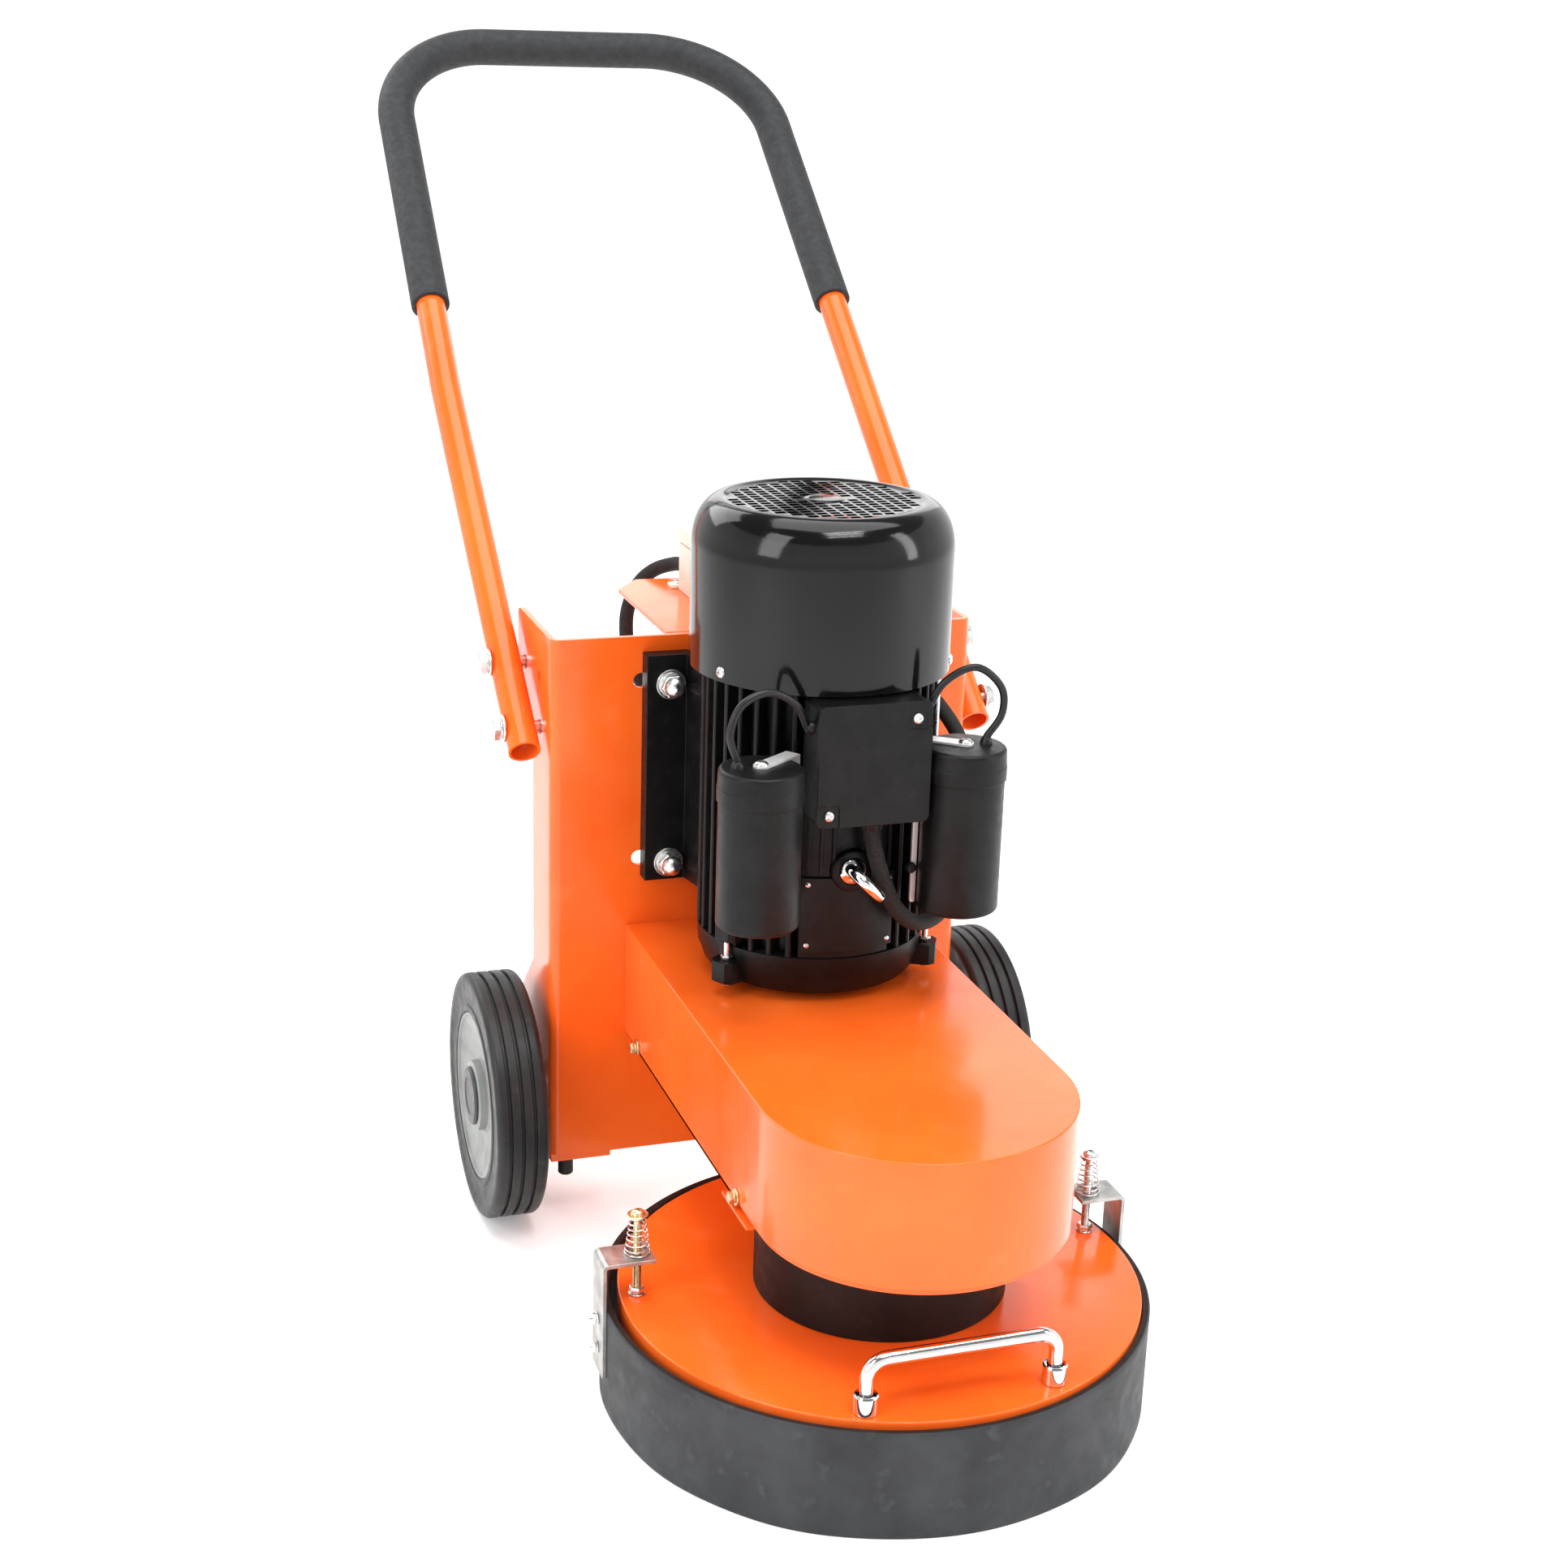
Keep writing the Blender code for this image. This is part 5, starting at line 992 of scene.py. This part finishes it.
box = dict(x=(-0.0345, 0.049), y=(0.0735, 0.118), z=(0.4045, 0.4925),
    screws=((0.0382, 0.4807), (-0.0259, 0.4129)), stripEnds=dict(left=(-0.0448, 0.0965),
    right=(0.059, 0.101)))
capacitor = dict(radius=0.031, cap=0.024, left=(-0.0758, 0.074, 0.335, 0.452),
    right=(0.081, 0.084, 0.331, 0.4545))


def buildTerminalBox():
    (x0, x1), (y0, y1), (z0, z1) = box["x"], box["y"], box["z"]
    base = prism(roundedBox((x0, x1), (z0, z1), 0.004), y0, y1, "Y")
    cuts = [prism(circle(motorAxis, motor["tip"] + 0.001, 128), z0 - 0.01, z1 + 0.01),
        prism(roundedBox((x0 + 0.003, x1 - 0.003), (z0 + 0.003, z1 - 0.003), 0.003), y0 - 0.01, y0
        + 0.018, "Y")]
    piece("terminalBase", carved(base, cuts), "satinBlack", stands=["terminal_base"], edge=0.0008)
    grow = 0.0008
    lid = prism(roundedBox((x0 - grow, x1 + grow), (z0 - grow, z1 + grow), 0.005), y0 - 0.004, y0
        - 0.0003, "Y")
    notches = []
    for x, z in box["screws"]:   # corners stepped down where the screws sit
        sx, sz = (1, 1) if x > 0 else (-1, -1)
        xs = sorted((x - sx * 0.0075, x + sx * 0.02))
        zs = sorted((z - sz * 0.0075, z + sz * 0.02))
        notches.append(prism(roundedBox(xs, zs, 0.0025), y0 - 0.02, y0 - 0.0027, "Y"))
    piece("terminalLid", carved(lid, notches), "mouldedBlack", stands=["terminal_lid"], edge=0.0007)
    for number, (x, z) in enumerate(box["screws"], 1):
        piece(f"lidScrew_{number}", standing(panScrew(0.004, 0.0028), (x, y0 - 0.0028, z), (0, -1, 0),
            25), "zincPlate")


def buildCapacitors():
    radius = capacitor["radius"]
    for side, name in sides:
        x, y, low, high = capacitor[name]
        can, seam = radius - 0.0011, high - capacitor["cap"]
        body = [(0, low + 0.0006), (can - 0.005, low + 0.0006),
            (can - 0.004, low)] + arc((can - 0.003, low + 0.003), 0.003, -90, 0, 6)
        body += [(can, seam + 0.001), (0, seam + 0.001)]
        piece("capacitorCan_" + name, turned(body, 96, at=(x, y, 0)), "mouldedBlack",
            stands=["capacitor_" + name])
        top = [(0, seam + 0.0011), (can - 0.001, seam + 0.0011), (can - 0.001, seam),
            (radius - 0.0004, seam), (radius, seam + 0.0005)]
        top += [(radius, seam + 0.0105), (radius - 0.0003, seam + 0.011),
            (radius - 0.0008, high - 0.0042)]
        top += arc((radius - 0.0038, high - 0.003), 0.003, 0, 90, 6) + [(0, high)]
        piece("capacitorCap_" + name, turned(top, 96, at=(x, y, 0)), "mouldedBlack", sharp=24)
        stripLow, end = high + 0.0002, box["stripEnds"][name]
        length, turn = hypot(end[0] - x, end[1] - y), atan2(end[1] - y, end[0] - x)
        flat = [(length, 0.006), *arc((0, 0), 0.006, 90, 270, 12), (length, -0.006)]
        strip = merged(prism(flat, stripLow, stripLow + 0.0015),
            block((length - 0.0014, length), (-0.006, 0.006), (stripLow - 0.014, stripLow + 0.0014)))
        bmesh.ops.transform(strip, matrix=Matrix.Translation((x, y, 0)) @ Matrix.Rotation(turn, 4, 'Z'),
            verts=strip.verts)
        piece("capacitorStrip_" + name, strip, "brightStrip", stands=["capacitor_bracket_" + name])
        screw = standing(panScrew(0.005, 0.003), (x, y, stripLow + 0.0015), (0, 0, 1), 30)
        piece("stripScrew_" + name, screw, "zincPlate")


routes = {"left": [(-0.0348, 0.087, 0.474), (-0.038, 0.087, 0.474), (-0.049, 0.084, 0.493),
    (-0.07, 0.08, 0.5035), (-0.0905, 0.077, 0.496), (-0.0985, 0.0755, 0.476),
    (-0.093, 0.075, 0.457), (-0.093, 0.075, 0.4523)], "right": [(0.0493, 0.095, 0.474),
    (0.0525, 0.095, 0.474), (0.0645, 0.091, 0.499), (0.087, 0.0865, 0.511),
    (0.1065, 0.0845, 0.496), (0.108, 0.0835, 0.476), (0.097, 0.0835, 0.4595),
    (0.097, 0.0835, 0.4548)], "motor": [(-0.016, 0.4593, 0.5025), (-0.016, 0.4653, 0.5025),
    (-0.021, 0.482, 0.5015), (-0.036, 0.497, 0.493), (-0.05, 0.5, 0.478), (-0.06, 0.494, 0.452),
    (-0.06, 0.474, 0.42), (-0.045, 0.44, 0.39), (-0.012, 0.4, 0.372), (0.035, 0.368, 0.372),
    (0.08, 0.348, 0.39), (0.116, 0.33, 0.416), (0.132, 0.312, 0.43), (0.135, 0.2975, 0.432),
    (0.14, 0.274, 0.425), (0.148, 0.25, 0.405), (0.148, 0.222, 0.375), (0.134, 0.184, 0.345),
    (0.108, 0.146, 0.324), (0.078, 0.112, 0.314), (0.052, 0.092, 0.318), (0.034, 0.085, 0.333),
    (0.0225, 0.084, 0.356), (0.0145, 0.085, 0.382), (0.012, 0.086, 0.3965), (0.012, 0.086, 0.4042)]}


def buildLeads():
    for name in ("left", "right"):
        path = smoothRoute(routes[name], 8)
        piece("capacitorLead_" + name, pipe(path, 0.0028, 24), "leadSheath",
            stands=["capacitor_lead_" + name])
        for end, (x, y, z) in (("box", routes[name][0]), ("cap", routes[name][-1])):
            away = (-1 if name == "left" else 1, 0, 0) if end == "box" else (0, 0, 1)
            sleeve = [(0, -0.0006), (0.0046, -0.0006), (0.0044, 0.0016), (0.0034, 0.0042),
                (0.0029, 0.0046), (0, 0.0046)]
            piece(f"leadSleeve_{name}_{end}", standing(turned(sleeve, 32), (x, y, z), away), "leadSheath")
    piece("motorLead", pipe(smoothRoute(routes["motor"], 10), 0.006, 32), "wovenSleeve",
        stands=["motor_lead"])
    nut = merged(hexPart(0.0088, 0, 0.004), turned([(0.0061, 0.0038), (0.0082, 0.0038), (0.008, 0.0075),
        (0.0072, 0.0088), (0.0061, 0.0088)], 40))
    piece("leadNut_box", standing(nut, (0.012, 0.086, 0.4043), (0, 0, -1)), "mouldedBlack")


def buildStrap():
    # upright zinc strap beside the right capacitor, with its dark knob
    strap = prism(roundedBox((0.0478, 0.0518), (0.3335, 0.408), 0.0015, 4), 0.0935, 0.0965, "Y")
    piece("uprightStrap", strap, "brightStrip", edge=0.0003)
    knob = turned([(0, 0), (0.004, 0), (0.004, 0.0026), (0.0032, 0.0038), (0, 0.004)], 32)
    piece("strapKnob", standing(knob, (0.0468, 0.0934, 0.361), (0, -1, 0)), "mouldedBlack")


switchBox = dict(x=(-0.031, 0.049), y=(0.34, 0.441), height=0.055, gland=(-0.016, 0.5025),
    sideGland=0.415, buttons={"start_button": (0.0085, 0.5215, 0.0095, 0.005),
    "stop_button": (0.034, 0.5215, 0.012, 0.008)})


def buildSwitchBox():
    base = chassis["top"] + 0.0002
    top, seam = base + switchBox["height"], base + switchBox["height"] - 0.015
    (x0, x1), (y0, y1) = switchBox["x"], switchBox["y"]
    outline = roundedBox((x0, x1), (y0, y1), 0.005)
    holes = merged(*[prism(circle((x, z), 0.0081, 40), y1 - 0.02, y1 + 0.02, "Y") for x, z, _,
        _ in switchBox["buttons"].values()])
    room = block((x0 + 0.003, x1 - 0.003), (y0 + 0.003, y1 - 0.003), (base - 0.01, seam + 0.01))
    piece("switchBase", carved(prism(outline, base, seam - 0.0003), [room, holes]), "creamShell",
        stands=["switch_box"], edge=0.0008)
    lid = prism(roundedBox((x0 - 0.0006, x1 + 0.0006), (y0 - 0.0006, y1 - 0.0002), 0.0052), seam, top)
    piece("switchLid", lid, "creamShell", edge=0.0022, edgeSteps=4)
    for number, (x, y) in enumerate(((x0 + 0.007, y0 + 0.007), (x1 - 0.007, y0 + 0.007),
            (x0 + 0.007, y1 - 0.007), (x1 - 0.007, y1 - 0.007)), 1):
        piece(f"switchLidScrew_{number}", standing(panScrew(0.0026, 0.0014), (x, y, top - 0.0001),
            (0, 0, 1), 20 * number), "zincPlate")
    for number, (x, y) in enumerate(((x0 + 0.0015, y1 + 0.0005), (x1 - 0.0015, y0 - 0.0005)), 1):
        side = 1 if y > y1 else -1
        ear = prism(roundedBox((x - 0.007, x + 0.007), sorted((y - side * 0.002, y + side * 0.012)),
            0.003), base, base + 0.003)
        piece(f"switchEar_{number}", ear, "creamShell", edge=0.0005)
        piece(f"earScrew_{number}", standing(panScrew(0.0034, 0.0022),
            (x, y + side * 0.0055, base + 0.003)), "zincPlate")
    for name, at, away in (("rear", (switchBox["gland"][0], y1, switchBox["gland"][1]), (0, 1, 0)),
            ("side", (x1, switchBox["sideGland"], switchBox["gland"][1]), (1, 0, 0))):
        parts = [hexPart(0.0098, 0, 0.005), turned([(0, 0.0045), (0.0086, 0.0045), (0.0086, 0.011),
            (0.0076, 0.0165), (0.0068, 0.018), (0, 0.018)], 48)]
        parts += [standing(block((0.0082, 0.0091), (-0.0006, 0.0006), (0.0055, 0.0105)), (0, 0, 0),
            (0, 0, 1), 20 * k) for k in range(18)]
        piece("leadGland_" + name, standing(merged(*parts), at, away), "mouldedBlack", edge=0.0002)
    for name, (x, z, radius, height) in switchBox["buttons"].items():
        seat = 0.0046
        cap = [(0, -0.012), (0.007, -0.012), (0.007, seat), (radius - 0.0003, seat),
            (radius, seat + 0.0004), (radius, seat + height - 0.0016),
            (radius - 0.0008, seat + height - 0.0004), (radius - 0.0022, seat + height),
            (radius * 0.55, seat + height - 0.0004), (0, seat + height - 0.0008)]
        paint = "greenCap" if name == "start_button" else "redCap"
        piece(name + "_cap", turned(cap, 48, "Y", (x, y1, z)), paint, name, [name])


buildTerminalBox()
buildCapacitors()
buildLeads()
buildStrap()
buildSwitchBox()
print("electrics built")

# finishes for the working parts inside, which keep their CAD shapes

for node, paint in (("drive_pulley", "castPulley"), ("driven_pulley", "castPulley"),
        ("v_belt", "plainRubber"), ("rotor", "turnedSteel"), ("spindle_bearing_lower", "turnedSteel"),
        ("spindle_bearing_upper", "turnedSteel")):
    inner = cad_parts[node]
    inner.data.materials.clear()
    inner.data.materials.append(paints[paint])
